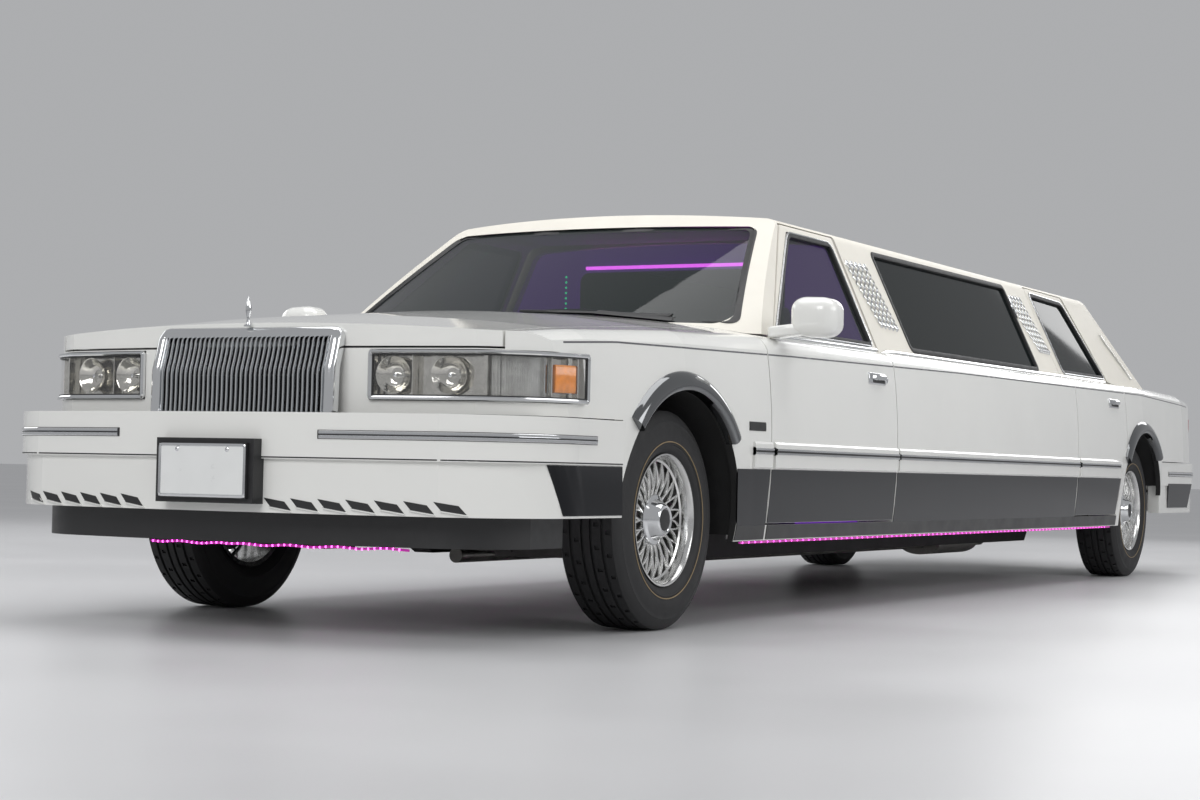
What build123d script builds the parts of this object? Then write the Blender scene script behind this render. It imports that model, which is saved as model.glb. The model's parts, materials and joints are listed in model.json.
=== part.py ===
"""Stretch limousine built on a six-window luxury sedan, at its real size in millimetres.

The car faces +X, its left side is +Y and +Z is up. The origin is on the ground,
in the middle of the length and width. Two helpers place things by the car's own
landmarks: front(u) is u millimetres ahead of the front axle, and rear(v) is v
millimetres ahead of the rear axle.
"""
import math
import os

from build123d import *

os.makedirs("parts", exist_ok=True)

# Overall size
wheelbase = 5520
overhang_front = 1195
overhang_rear = 1430
side_width = 974
sill_z = 273
widest_z = 600
roof_z = 1468
eave_z = 1444
eave_round = 60

# Wheels and axles
track_front = 1595
track_rear = 1608
tyre_radius = 346
tyre_width = 225
tread_width = 176
bead_radius = 200
rim_lip = 209
arch_radius = 408
flare_width = 58
kingpin_inset = 70
spindle_radius = 27

# Body walls and gaps
skin = 28
door_inner_y = 812
roof_wall = 45
frame_wall = 25
shut_gap = 6
swing_gap = 16
seat_gap = 0.3
slide_gap = 0.6
glass_thick = 6
glass_recess = 9
belt_z = 968
belt_y = 890
belt_lip = 7
tumblehome = 0.443
door_bottom = 331
shut_slant = 0.27
arch_slant = 0.2

# Shut lines along the side, from the front axle backwards
fender_end = -640
front_door_end = -1845
rear_door_start = -4300
# and from the rear axle forwards
rear_door_end = 335

# Chassis
rail_y = 440
rail_wide = 80
rail_high = 110

x_front = (wheelbase + overhang_rear - overhang_front) / 2


def front(u):
    """X of a place u ahead of the front axle."""
    return x_front + u


def rear(v):
    """X of a place v ahead of the rear axle."""
    return x_front - wheelbase + v


def side_y(z):
    """Half width of the window planes at height z."""
    return belt_y - tumblehome * (z - belt_z)


def finish(piece, name):
    """Label a piece and write it to its STEP file."""
    piece.part.label = name
    export_step(piece.part, f"parts/{name}.step")


def arc_x(middle, end, y):
    """X at half width y on the arc through (middle, 0) and the two points (end x, +-end y)."""
    rise = abs(middle - end[0])
    radius = (end[1] ** 2 + rise**2) / (2 * rise)
    return middle - math.copysign(radius - math.sqrt(radius**2 - y**2), middle - end[0])


# Sections of the sheet metal below the belt, one row a station:
# x, half width, height of the side crease, half width and height of the top edge, centre height
front_sections = (
    (front(1010), 884, 848, 806, 874, 908),
    (front(600), 936, 878, 842, 910, 961),
    (front(0), side_width - 5, 900, 872, 946, 1018),
    (front(fender_end), side_width, 914, side_y(belt_z) + belt_lip, belt_z, 1052),
    (front(-900), side_width, 917, side_y(belt_z + 2) + belt_lip, belt_z + 2, 1064),
)
middle_sections = (
    (front(fender_end), side_width, 914, side_y(belt_z) + belt_lip, belt_z, 980),
    (rear(0), side_width, 964, side_y(belt_z + 30) + belt_lip, belt_z + 30, 1010),
)
rear_sections = (
    (rear(0), side_width, 964, side_y(belt_z + 30) + belt_lip, belt_z + 30, 1030),
    (rear(-900), side_width - 12, 948, 862, 990, 1018),
    (rear(-1400), side_width - 49, 918, 825, 962, 990),
)


def sheet_metal(rows, inset=0):
    """Solid through a table of sections, its sides and top drawn in by inset."""
    low = sill_z if inset == 0 else sill_z - 40
    with BuildPart() as block:
        for x, side, crease, top_y, top_z, crown in rows:
            tuck = Vector(side - inset - 26, low)
            bulge = Vector(side - inset, widest_z)
            fold = Vector(side - inset - 22, crease - inset / 2)
            edge = Vector(top_y - inset, top_z - inset)
            across = edge - fold
            shoulder = (fold + edge) / 2 + Vector(across.Y, -across.X) * 0.12
            with BuildSketch(Plane.YZ.offset(x)):
                with BuildLine():
                    Line((-tuck.X, low), (tuck.X, low))
                    ThreePointArc((tuck.X, tuck.Y), (bulge.X, bulge.Y), (fold.X, fold.Y))
                    ThreePointArc((fold.X, fold.Y), (shoulder.X, shoulder.Y), (edge.X, edge.Y))
                    ThreePointArc((edge.X, edge.Y), (0, crown - inset), (-edge.X, edge.Y))
                    ThreePointArc((-edge.X, edge.Y), (-shoulder.X, shoulder.Y), (-fold.X, fold.Y))
                    ThreePointArc((-fold.X, fold.Y), (-bulge.X, bulge.Y), (-tuck.X, tuck.Y))
                make_face()
        loft(ruled=True)
    return block.part


def end_plan(tip, shoulder, bend, side, far, inset):
    """Tall block behind a rounded end of the car in plan, given by four points of its left half."""
    way = 1 if tip[0] > far else -1
    tip_x = tip[0] - way * inset
    shoulder = (shoulder[0] - way * 0.85 * inset, shoulder[1] - 0.5 * inset)
    bend = (bend[0] - way * 0.66 * inset, bend[1] - 0.75 * inset)
    side = (side[0], side[1] - inset)
    with BuildPart() as block:
        with BuildSketch(Plane.XY.offset(sill_z - 100)):
            with BuildLine():
                ThreePointArc((shoulder[0], -shoulder[1]), (tip_x, 0), shoulder)
                ThreePointArc(shoulder, bend, side)
                Polyline(side, (side[0], 1200), (far, 1200), (far, -1200), (side[0], -1200), (side[0], -side[1]))
                ThreePointArc((side[0], -side[1]), (bend[0], -bend[1]), (shoulder[0], -shoulder[1]))
            make_face()
        extrude(amount=1200)
    return block.part


def nose_plan(inset):
    """Everything behind the car's rounded front, seen from above."""
    return end_plan((front(975), 0), (front(905), 735), (front(806), 862), (front(610), 940), rear(0), inset)


def tail_plan(inset):
    """Everything ahead of the car's rounded tail, seen from above."""
    return end_plan((rear(-1335), 0), (rear(-1290), 770), (rear(-1235), 860), (rear(-1090), 940), front(0), inset)


# The cabin above the belt leans in on all four sides. Its front and rear are bowed in plan,
# one row a height: height, x at the middle and corners of the windscreen, then of the rear window
cabin_plans = (
    (900, front(-202), front(-666), rear(-543), rear(-437)),
    (1500, front(-1300), front(-1404), rear(184), rear(252)),
)
cabin_low = 905


def bowed_end(middle_column, corner_column, shift, away):
    """Block beyond a bowed, leaning glass plane, for cutting the end of the cabin."""
    beyond = 1000
    with BuildPart() as block:
        for row in cabin_plans:
            middle, corner, half = row[middle_column], row[corner_column], side_y(row[0])
            bow = abs(middle - corner)
            radius = (half**2 + bow**2) / (2 * bow)
            drop = radius - math.sqrt(radius**2 - beyond**2)
            edge = middle - away * drop
            with BuildSketch(Plane.XY.offset(row[0])):
                with BuildLine():
                    ThreePointArc((edge + shift, -beyond), (middle + shift, 0), (edge + shift, beyond))
                    Polyline(
                        (edge + shift, beyond),
                        (edge + shift + away * 2500, beyond),
                        (edge + shift + away * 2500, -beyond),
                        (edge + shift, -beyond),
                    )
                make_face()
        loft(ruled=True)
    return block.part


def cabin(inset=0):
    """Block of the cabin between its glass planes, drawn in by inset, under the crowned roof."""
    wall = inset * math.hypot(1, tumblehome)
    lean = inset * 1.6
    top = eave_z - inset
    with BuildPart() as block:
        with BuildSketch(Plane.YZ.offset(rear(-700))) as outline:
            with BuildLine():
                Polyline(
                    (-side_y(top) + wall, top),
                    (-side_y(cabin_low) + wall, cabin_low),
                    (side_y(cabin_low) - wall, cabin_low),
                    (side_y(top) - wall, top),
                )
                ThreePointArc((side_y(top) - wall, top), (0, roof_z - inset), (-side_y(top) + wall, top))
            make_face()
            fillet(outline.vertices().group_by(Axis.Y)[-1], eave_round)
        extrude(amount=wheelbase + 1000)
        add(bowed_end(1, 2, -lean, 1), mode=Mode.SUBTRACT)
        add(bowed_end(3, 4, lean, -1), mode=Mode.SUBTRACT)
    return block.part


def side_prism(outline_points, round_by=0):
    """Prism across the car through an outline of (x, z) corners, rounded by a radius or left sharp."""
    with BuildPart() as block:
        with BuildSketch(Plane.XZ):
            with BuildLine():
                if round_by:
                    FilletPolyline(*outline_points, radius=round_by, close=True)
                else:
                    Polyline(*outline_points, close=True)
            make_face()
        extrude(amount=1200, both=True)
    return block.part


def wheel_cylinder(x, radius, y_from, y_to, z=tyre_radius):
    """Cylinder about an axle line on the left side."""
    with BuildPart() as block:
        with BuildSketch(Plane.XZ.offset(-y_from)):
            with Locations((x, z)):
                Circle(radius)
        extrude(amount=-(y_to - y_from))
    return block.part


body_front = sheet_metal(front_sections) & nose_plan(0)
body_front_inside = sheet_metal(front_sections, skin) & nose_plan(skin)
body_middle = sheet_metal(middle_sections)
body_rear = sheet_metal(rear_sections) & tail_plan(0)
body_rear_inside = sheet_metal(rear_sections, skin) & tail_plan(skin)
cabin_outside = cabin()
cabin_inside = cabin(roof_wall)
cabin_glass_outside = cabin(glass_recess)
cabin_glass_inside = cabin(glass_recess + glass_thick)
cabin_frame_inside = cabin(frame_wall)

# Window openings in side view, corner by corner
front_window = (
    (front(-868), 992),
    (front(-1822), 992),
    (front(-1800), 1402),
    (front(-1372), 1402),
)
centre_window = (
    (front(-2250), 996),
    (rear(1530), 1004),
    (rear(1560), 1412),
    (front(-2225), 1408),
)
rear_window = (
    (rear(1145), 1010),
    (rear(395), 1014),
    (rear(640), 1398),
    (rear(1180), 1408),
)
window_radius = 34
front_window_prism = side_prism(front_window, window_radius)
centre_window_prism = side_prism(centre_window, window_radius)
rear_window_prism = side_prism(rear_window, window_radius)

# Door outlines in side view, the lower leaf up to the belt and the frame above it
belt_front = 975
belt_rear = 992
front_leaf = (
    (front(fender_end - shut_gap), door_bottom),
    (front(fender_end - shut_gap), belt_front),
    (front(front_door_end), belt_front + 12),
    (front(front_door_end), door_bottom),
)
front_frame = (
    (front(-800), belt_front - 40),
    (front(-1337), 1424),
    (front(-1838), 1424),
    (front(front_door_end), belt_front - 40),
)
rear_leaf = (
    (rear(wheelbase + rear_door_start - shut_gap), door_bottom),
    (rear(wheelbase + rear_door_start - shut_gap), belt_rear),
    (rear(rear_door_end), belt_rear + 8),
    (rear(rear_door_end), door_bottom),
)
rear_frame = (
    (rear(wheelbase + rear_door_start - shut_gap), belt_rear - 40),
    (rear(1212), 1426),
    (rear(612), 1422),
    (rear(350), belt_rear - 40),
)


rear_arch_clear = arch_radius + flare_width + shut_gap
lock_x = {"front": front(front_door_end), "rear": rear(rear_door_end)}


# Each lid and door turns about a line in the outer skin. Curved arms round that line reach through
# a slot in the body, so the arms are rings about the hinge line, from one angle to another
arm_inner = 130
arm_outer = 138
door_hinge_y = side_width + 2
door_arm_heights = (450, 700)
door_arm_high = 36
door_hinges = {"front": front(fender_end) - 1, "rear": front(rear_door_start) - 1}


def hinge_arm(plane, inner, outer, start, end, thick, gap=0):
    """Ring sector about a plane's origin, widened all round by a gap when it cuts a slot."""
    reach = 2 * outer
    middle = (start + end) / 2
    with BuildPart() as arm:
        with BuildSketch(plane.offset(-thick / 2 - gap)):
            Circle(outer + gap)
            Circle(inner - gap, mode=Mode.SUBTRACT)
            with BuildLine():
                Polyline(
                    (0, 0),
                    (reach * math.cos(math.radians(start)), reach * math.sin(math.radians(start))),
                    (reach * math.cos(math.radians(middle)), reach * math.sin(math.radians(middle))),
                    (reach * math.cos(math.radians(end)), reach * math.sin(math.radians(end))),
                    close=True,
                )
            make_face(mode=Mode.INTERSECT)
        extrude(amount=thick + 2 * gap)
    return arm.part


def door_arm(place, sign, height, gap=0):
    """Arm of a door, from inside its front face forwards and outwards round the hinge line."""
    plane = Plane(
        origin=(door_hinges[place], sign * door_hinge_y, height), x_dir=(1, 0, 0), z_dir=(0, 0, sign)
    )
    return hinge_arm(plane, arm_inner, arm_outer, -97, -18 + (3 if gap else 0), door_arm_high, gap)


def door(place, sign, leaf, frame, window_prism, lock):
    """A whole door: hollow-window frame above, leaf as thick as the real door below."""
    with BuildPart() as piece:
        add(body_middle)
        add(side_prism(leaf), mode=Mode.INTERSECT)
        with Locations((0, sign * (door_inner_y / 2 - 600), 700)):
            Box(4 * wheelbase, door_inner_y + 1200, 2000, mode=Mode.SUBTRACT)
        with BuildSketch(Plane.XY.offset(door_bottom - 50)):
            with BuildLine():
                Polyline(
                    (lock - 1, sign * (side_width - 14)),
                    (lock + shut_slant * 170, sign * (side_width - 184)),
                    (lock - 1, sign * (side_width - 184)),
                    close=True,
                )
            make_face()
        extrude(amount=belt_rear - door_bottom + 100, mode=Mode.SUBTRACT)
        with BuildSketch(Plane.XZ.offset(-sign * (side_width + 4))):
            with Locations((rear(0), tyre_radius)):
                Circle(rear_arch_clear)
        with BuildSketch(Plane.XZ.offset(-sign * (door_inner_y - 4))):
            with Locations((rear(0), tyre_radius)):
                Circle(rear_arch_clear + arch_slant * (side_width - door_inner_y))
        loft(mode=Mode.SUBTRACT)
    with BuildPart() as upper:
        add(cabin_outside)
        add(cabin_frame_inside, mode=Mode.SUBTRACT)
        add(side_prism(frame), mode=Mode.INTERSECT)
        with Locations((0, -sign * 600, 1200)):
            Box(4 * wheelbase, 2400, 2000, mode=Mode.SUBTRACT)
    with BuildPart() as whole:
        add(piece.part)
        add(upper.part)
        add(window_prism, mode=Mode.SUBTRACT)
        for height in door_arm_heights:
            add(door_arm(place, sign, height))
    return whole


for sign, side in ((1, "left"), (-1, "right")):
    finish(door("front", sign, front_leaf, front_frame, front_window_prism, lock_x["front"]), f"front_door_{side}")
    finish(door("rear", sign, rear_leaf, rear_frame, rear_window_prism, lock_x["rear"]), f"rear_door_{side}")


def wrap(tip, shoulder, bend, side, end_x, depth, low, high):
    """Band that wraps round an end of the car, from height low to high, its plan given as in end_plan."""
    way = 1 if tip[0] > end_x else -1
    inner_shoulder = (shoulder[0] - way * 0.85 * depth, shoulder[1] - 0.5 * depth)
    inner_bend = (bend[0] - way * 0.66 * depth, bend[1] - 0.75 * depth)
    inner_side = (side[0], side[1] - depth)
    with BuildPart() as band:
        with BuildSketch(Plane.XY.offset(low)):
            with BuildLine():
                ThreePointArc((shoulder[0], -shoulder[1]), (tip[0], 0), shoulder)
                ThreePointArc(shoulder, bend, side)
                Polyline(side, (end_x, side[1]), (end_x, inner_side[1]), inner_side)
                ThreePointArc(inner_side, inner_bend, inner_shoulder)
                ThreePointArc(
                    inner_shoulder, (tip[0] - way * depth, 0), (inner_shoulder[0], -inner_shoulder[1])
                )
                ThreePointArc(
                    (inner_shoulder[0], -inner_shoulder[1]),
                    (inner_bend[0], -inner_bend[1]),
                    (inner_side[0], -inner_side[1]),
                )
                Polyline(
                    (inner_side[0], -inner_side[1]),
                    (end_x, -inner_side[1]),
                    (end_x, -side[1]),
                    (side[0], -side[1]),
                )
                ThreePointArc((side[0], -side[1]), (bend[0], -bend[1]), (shoulder[0], -shoulder[1]))
            make_face()
        extrude(amount=high - low)
    return band.part


def slab(x_from, x_to, y_from, y_to, z_from, z_to):
    """Plain block between three pairs of coordinates."""
    with BuildPart() as block:
        with Locations(((x_from + x_to) / 2, (y_from + y_to) / 2, (z_from + z_to) / 2)):
            Box(abs(x_to - x_from), abs(y_to - y_from), abs(z_to - z_from))
    return block.part


def both_arches(x, radius):
    """Round hole right across the car above an axle."""
    with BuildPart() as block:
        with BuildSketch(Plane.XZ):
            with Locations((x, tyre_radius)):
                Circle(radius)
        extrude(amount=1200, both=True)
    return block.part


front_lock_gap = (
    (front(fender_end), door_bottom - shut_gap),
    (front(fender_end), belt_front + 80),
    (front(front_door_end - shut_gap), belt_front + 80),
    (front(front_door_end - shut_gap), door_bottom - shut_gap),
)
rear_lock_gap = (
    (front(rear_door_start), door_bottom - shut_gap),
    (front(rear_door_start), belt_rear + 80),
    (rear(rear_door_end - shut_gap), belt_rear + 80),
    (rear(rear_door_end - shut_gap), door_bottom - shut_gap),
)
front_frame_gap = (
    (front(fender_end), belt_front - 60),
    (front(fender_end), belt_front + 3),
    (front(-836), belt_front + 3),
    (front(-1324), 1430),
    (front(-1838 - 1.7 * swing_gap), 1430),
    (front(front_door_end - swing_gap), belt_front - 60),
)
rear_frame_gap = (
    (front(rear_door_start), belt_rear - 60),
    (rear(1218), 1432),
    (rear(612 - 1.7 * swing_gap), 1428),
    (rear(rear_door_end - swing_gap), belt_rear - 60),
)

# Hood: from the nose to the foot of the windscreen, between two straight seams
hood_y = 798
hood_lip_z = 843
hood_tail = (front(-655), front(-426))


def hood_plan(y, tail_corner, tail_middle, low):
    """Block over the engine bay, its rear edge bowed like the windscreen's foot."""
    with BuildPart() as block:
        with BuildSketch(Plane.XY.offset(low)):
            with BuildLine():
                Polyline((tail_corner, y), (front(1100), y), (front(1100), -y), (tail_corner, -y))
                ThreePointArc((tail_corner, -y), (tail_middle, 0), (tail_corner, y))
            make_face()
        extrude(amount=500)
    return block.part


hood_axis = (front(-658), 988)
lid_axis = (rear(-447), 1026)
lid_arm_inner = 98
lid_arm_outer = 108
hood_arm_y = 784
lid_arm_y = 741
lid_arm_wide = 12


def hood_arm(sign, gap=0):
    """Arm from under a rear corner of the hood, down and back through the toe board."""
    plane = Plane(origin=(hood_axis[0], sign * hood_arm_y, hood_axis[1]), x_dir=(1, 0, 0), z_dir=(0, -1, 0))
    return hinge_arm(plane, lid_arm_inner, lid_arm_outer, 0, -112 - (3 if gap else 0), lid_arm_wide, gap)


with BuildPart() as hood:
    add(body_front)
    add(body_front_inside, mode=Mode.SUBTRACT)
    add(hood_plan(hood_y, *hood_tail, hood_lip_z), mode=Mode.INTERSECT)
    for sign in (1, -1):
        add(hood_arm(sign))
finish(hood, "hood")

# Front fenders with the nose panel that joins them behind the grille
bumper_top = 645
lamp_low = 686
lamp_high = 834
lamp_inner_y = 407
lamp_tail = front(612)
grille_half = 331
pillar_thick = 12
with BuildPart() as front_fenders:
    add(body_front)
    add(body_front_inside, mode=Mode.SUBTRACT)
    add(slab(front(fender_end), front(1100), -1200, 1200, 0, 1300), mode=Mode.INTERSECT)
    add(hood_plan(hood_y + shut_gap, front(-1000), front(-900), hood_lip_z - shut_gap), mode=Mode.SUBTRACT)
    add(both_arches(front(0), arch_radius), mode=Mode.SUBTRACT)
    add(slab(front(400), front(1100), -1200, 1200, 0, bumper_top + 4), mode=Mode.SUBTRACT)
    add(slab(front(800), front(1100), -290, 290, 0, 800), mode=Mode.SUBTRACT)
    for sign in (1, -1):
        add(
            slab(lamp_tail, front(1100), sign * lamp_inner_y, sign * 1200, lamp_low, lamp_high),
            mode=Mode.SUBTRACT,
        )
        with BuildPart() as pillar:
            add(
                slab(
                    front(fender_end),
                    front(fender_end) + pillar_thick,
                    sign * door_inner_y,
                    sign * 1200,
                    door_bottom - shut_gap,
                    belt_z - skin,
                )
            )
            add(body_front, mode=Mode.INTERSECT)
            for height in door_arm_heights:
                add(door_arm("front", sign, height, slide_gap), mode=Mode.SUBTRACT)
        add(pillar.part)
finish(front_fenders, "front_fenders")

# Headlamps that wrap round the corners of the nose
nose_proud = 8
with BuildPart() as headlamps:
    add(
        wrap(
            (front(975 + nose_proud), 0),
            (front(905 + nose_proud), 735),
            (front(806 + nose_proud), 866),
            (front(612), 946),
            front(612) - 1,
            64,
            lamp_low + seat_gap,
            lamp_high - seat_gap,
        )
    )
    add(
        slab(front(500), front(1100), -lamp_inner_y - seat_gap, lamp_inner_y + seat_gap, 0, 1300),
        mode=Mode.SUBTRACT,
    )
    add(slab(lamp_tail + seat_gap, front(1100), -1200, 1200, 0, 1300), mode=Mode.INTERSECT)
finish(headlamps, "headlamps")

# Body shell: sills, wall between the doors, rear fenders, deck and tail panel
lid_y = 758
lid_front = rear(-450)
lid_low = 640
tail_lamp_low = 700
tail_lamp_high = 858
rear_bumper_top = 606
house_radius = arch_radius + 17
house_wall = 12
with BuildPart() as middle_walls:
    add(body_middle)
    add(slab(front(500), rear(-100), -door_inner_y, door_inner_y, 0, 1300), mode=Mode.SUBTRACT)
    add(side_prism(front_lock_gap), mode=Mode.SUBTRACT)
    add(side_prism(rear_lock_gap) - both_arches(rear(0), arch_radius + flare_width), mode=Mode.SUBTRACT)
    for sign in (1, -1):
        add(
            wheel_cylinder(rear(0), house_radius + house_wall + seat_gap, sign * 600, sign * 940),
            mode=Mode.SUBTRACT,
        )
    add(both_arches(rear(0), arch_radius), mode=Mode.SUBTRACT)
    for sign in (1, -1):
        for height in door_arm_heights:
            add(door_arm("rear", sign, height, slide_gap), mode=Mode.SUBTRACT)
with BuildPart() as tail_walls:
    add(body_rear)
    add(body_rear_inside, mode=Mode.SUBTRACT)
    add(both_arches(rear(0), arch_radius), mode=Mode.SUBTRACT)
    add(
        slab(lid_front + shut_gap, rear(-1500), -lid_y - shut_gap, lid_y + shut_gap, lid_low - shut_gap, 1300),
        mode=Mode.SUBTRACT,
    )
    add(slab(rear(-400), rear(-1500), -1200, 1200, 0, rear_bumper_top + 4), mode=Mode.SUBTRACT)
    for sign in (1, -1):
        add(
            slab(
                rear(-1160),
                rear(-1500),
                sign * (lid_y - 1),
                sign * 1200,
                tail_lamp_low,
                tail_lamp_high,
            ),
            mode=Mode.SUBTRACT,
        )
hinge_plate_y = lid_arm_y + lid_arm_wide / 2 + slide_gap
with BuildPart() as body_shell:
    add(middle_walls.part)
    add(tail_walls.part)
    for sign in (1, -1):
        add(slab(rear(-475), rear(-545), sign * hinge_plate_y, sign * 800, 900, 944))
        add(slab(rear(-475), rear(-545), sign * (lid_y + shut_gap), sign * 800, 900, 972))
finish(body_shell, "body_shell")

with BuildPart() as trunk_lid:
    add(body_rear)
    add(body_rear_inside, mode=Mode.SUBTRACT)
    add(slab(lid_front, rear(-1500), -lid_y, lid_y, lid_low, 1300), mode=Mode.INTERSECT)
    for sign in (1, -1):
        arm_plane = Plane(
            origin=(lid_axis[0], sign * lid_arm_y, lid_axis[1]), x_dir=(1, 0, 0), z_dir=(0, -1, 0)
        )
        add(hinge_arm(arm_plane, lid_arm_inner, lid_arm_outer, 183, 323, lid_arm_wide))
finish(trunk_lid, "trunk_lid")

with BuildPart() as tail_lamps:
    add(
        wrap(
            (rear(-1341), 0),
            (rear(-1296), 770),
            (rear(-1241), 864),
            (rear(-1162), 925),
            rear(-1161),
            46,
            tail_lamp_low + seat_gap,
            tail_lamp_high - seat_gap,
        )
    )
    add(slab(rear(-1000), rear(-1500), -lid_y - shut_gap, lid_y + shut_gap, 0, 1300), mode=Mode.SUBTRACT)
finish(tail_lamps, "tail_lamps")

# Windscreen and rear window openings, seen from the front: height, half width
screen_low = 1010
screen_high = 1410
screen_margin = 62
screen_outline = (
    (-side_y(screen_low) + screen_margin, screen_low),
    (side_y(screen_low) - screen_margin, screen_low),
    (side_y(screen_high) - screen_margin, screen_high),
    (-side_y(screen_high) + screen_margin, screen_high),
)
backlight_outline = ((-500, 1086), (500, 1086), (430, 1372), (-430, 1372))


def end_prism(points, x_from, x_to, round_by, gap=0):
    """Prism along the car through an outline of (y, z) corners, drawn in by a gap."""
    low = min(p[1] for p in points)
    drawn = [(y - math.copysign(gap, y), z + (gap if z == low else -gap)) for y, z in points]
    with BuildPart() as block:
        with BuildSketch(Plane.YZ.offset(x_from)):
            with BuildLine():
                FilletPolyline(*drawn, radius=round_by, close=True)
            make_face()
        extrude(amount=x_to - x_from)
    return block.part


def drawn_in(points, gap):
    """Window outline of four (x, z) corners drawn in by a gap on every side."""
    middle_x = sum(p[0] for p in points) / 4
    middle_z = sum(p[1] for p in points) / 4
    return [
        (x - math.copysign(gap, x - middle_x), z - math.copysign(gap, z - middle_z)) for x, z in points
    ]


with BuildPart() as roof:
    add(cabin_outside)
    add(cabin_inside, mode=Mode.SUBTRACT)
    add(end_prism(screen_outline, front(-1520), front(0), 50), mode=Mode.SUBTRACT)
    add(end_prism(backlight_outline, rear(-640), rear(180), 60), mode=Mode.SUBTRACT)
    add(centre_window_prism, mode=Mode.SUBTRACT)
    add(side_prism(front_frame_gap), mode=Mode.SUBTRACT)
    add(side_prism(rear_frame_gap), mode=Mode.SUBTRACT)
    add(body_front, mode=Mode.SUBTRACT)
    add(body_middle, mode=Mode.SUBTRACT)
    add(body_rear, mode=Mode.SUBTRACT)
finish(roof, "roof")

# Glass, a thin skin just under the outer surface, cut a hair smaller than its openings
with BuildPart() as glass_skin:
    add(cabin_glass_outside)
    add(cabin_glass_inside, mode=Mode.SUBTRACT)
glass_body = glass_skin.part
with BuildPart() as fixed_glass:
    for opening in (
        end_prism(screen_outline, front(-1520), front(0), 50, seat_gap) - body_front,
        end_prism(backlight_outline, rear(-640), rear(180), 60, seat_gap),
        side_prism(drawn_in(centre_window, seat_gap), window_radius),
    ):
        with BuildPart() as pane:
            add(glass_body)
            add(opening, mode=Mode.INTERSECT)
        add(pane.part)
finish(fixed_glass, "fixed_glass")
for sign, side in ((1, "left"), (-1, "right")):
    for place, outline in (("front", front_window), ("rear", rear_window)):
        with BuildPart() as door_glass:
            add(glass_body)
            add(side_prism(drawn_in(outline, seat_gap), window_radius), mode=Mode.INTERSECT)
            add(slab(front(0), rear(-500), 0, sign * 1200, 900, 1500), mode=Mode.INTERSECT)
        finish(door_glass, f"{place}_glass_{side}")

# Bumpers
front_bumper_plan = ((front(1150), 0), (front(1072), 720), (front(965), 878), (front(700), 962))
with BuildPart() as bumpers:
    add(wrap(*front_bumper_plan, front(412), 74, 512, bumper_top))
    lower_plan = [(x - 12, max(y - 8, 0)) for x, y in front_bumper_plan]
    front_bumper_depth = 90
    add(wrap(*lower_plan, front(412), front_bumper_depth, 358, 513))
front_rail_end = (
    arc_x(
        lower_plan[0][0] - front_bumper_depth,
        (lower_plan[1][0] - 0.85 * front_bumper_depth, lower_plan[1][1] - 0.5 * front_bumper_depth),
        rail_y + rail_wide / 2,
    )
    - seat_gap
)
rear_bumper_plan = ((rear(-1430), 0), (rear(-1385), 740), (rear(-1300), 880), (rear(-1100), 958))
with bumpers:
    add(wrap(*rear_bumper_plan, rear(-412), 74, 480, rear_bumper_top))
    lower_plan = [(x + 12, max(y - 8, 0)) for x, y in rear_bumper_plan]
    rear_bumper_depth = 60
    add(wrap(*lower_plan, rear(-412), rear_bumper_depth, 330, 481))
finish(bumpers, "bumpers")
rear_rail_end = (
    arc_x(
        lower_plan[0][0] + rear_bumper_depth,
        (lower_plan[1][0] + 0.85 * rear_bumper_depth, lower_plan[1][1] - 0.5 * rear_bumper_depth),
        rail_y + rail_wide / 2,
    )
    + seat_gap
)
dam_plan = ((front(1060), 0), (front(1000), 640), (front(930), 780), (front(790), 858))
dam_low = 268
with BuildPart() as air_dam:
    add(wrap(*dam_plan, front(600), 12, dam_low, 358 - seat_gap))
finish(air_dam, "air_dam")

# Plate bracket at the front with its blank plate
plate_z = 475
plate_wide = 312
plate_high = 160
with BuildPart() as front_plate:
    with Locations((front(1158), 0, plate_z)):
        Box(50, plate_wide + 34, plate_high + 26)
    with Locations((front(1183 + 6), 0, plate_z)):
        Box(12, plate_wide, plate_high)
    add(bumpers.part, mode=Mode.SUBTRACT)
    with BuildSketch(Plane.YZ.offset(front(overhang_front))):
        with Locations((-89, plate_z + 62), (89, plate_z + 62)):
            Circle(3.5)
    extrude(amount=-22, mode=Mode.SUBTRACT)
finish(front_plate, "front_plate")

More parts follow.
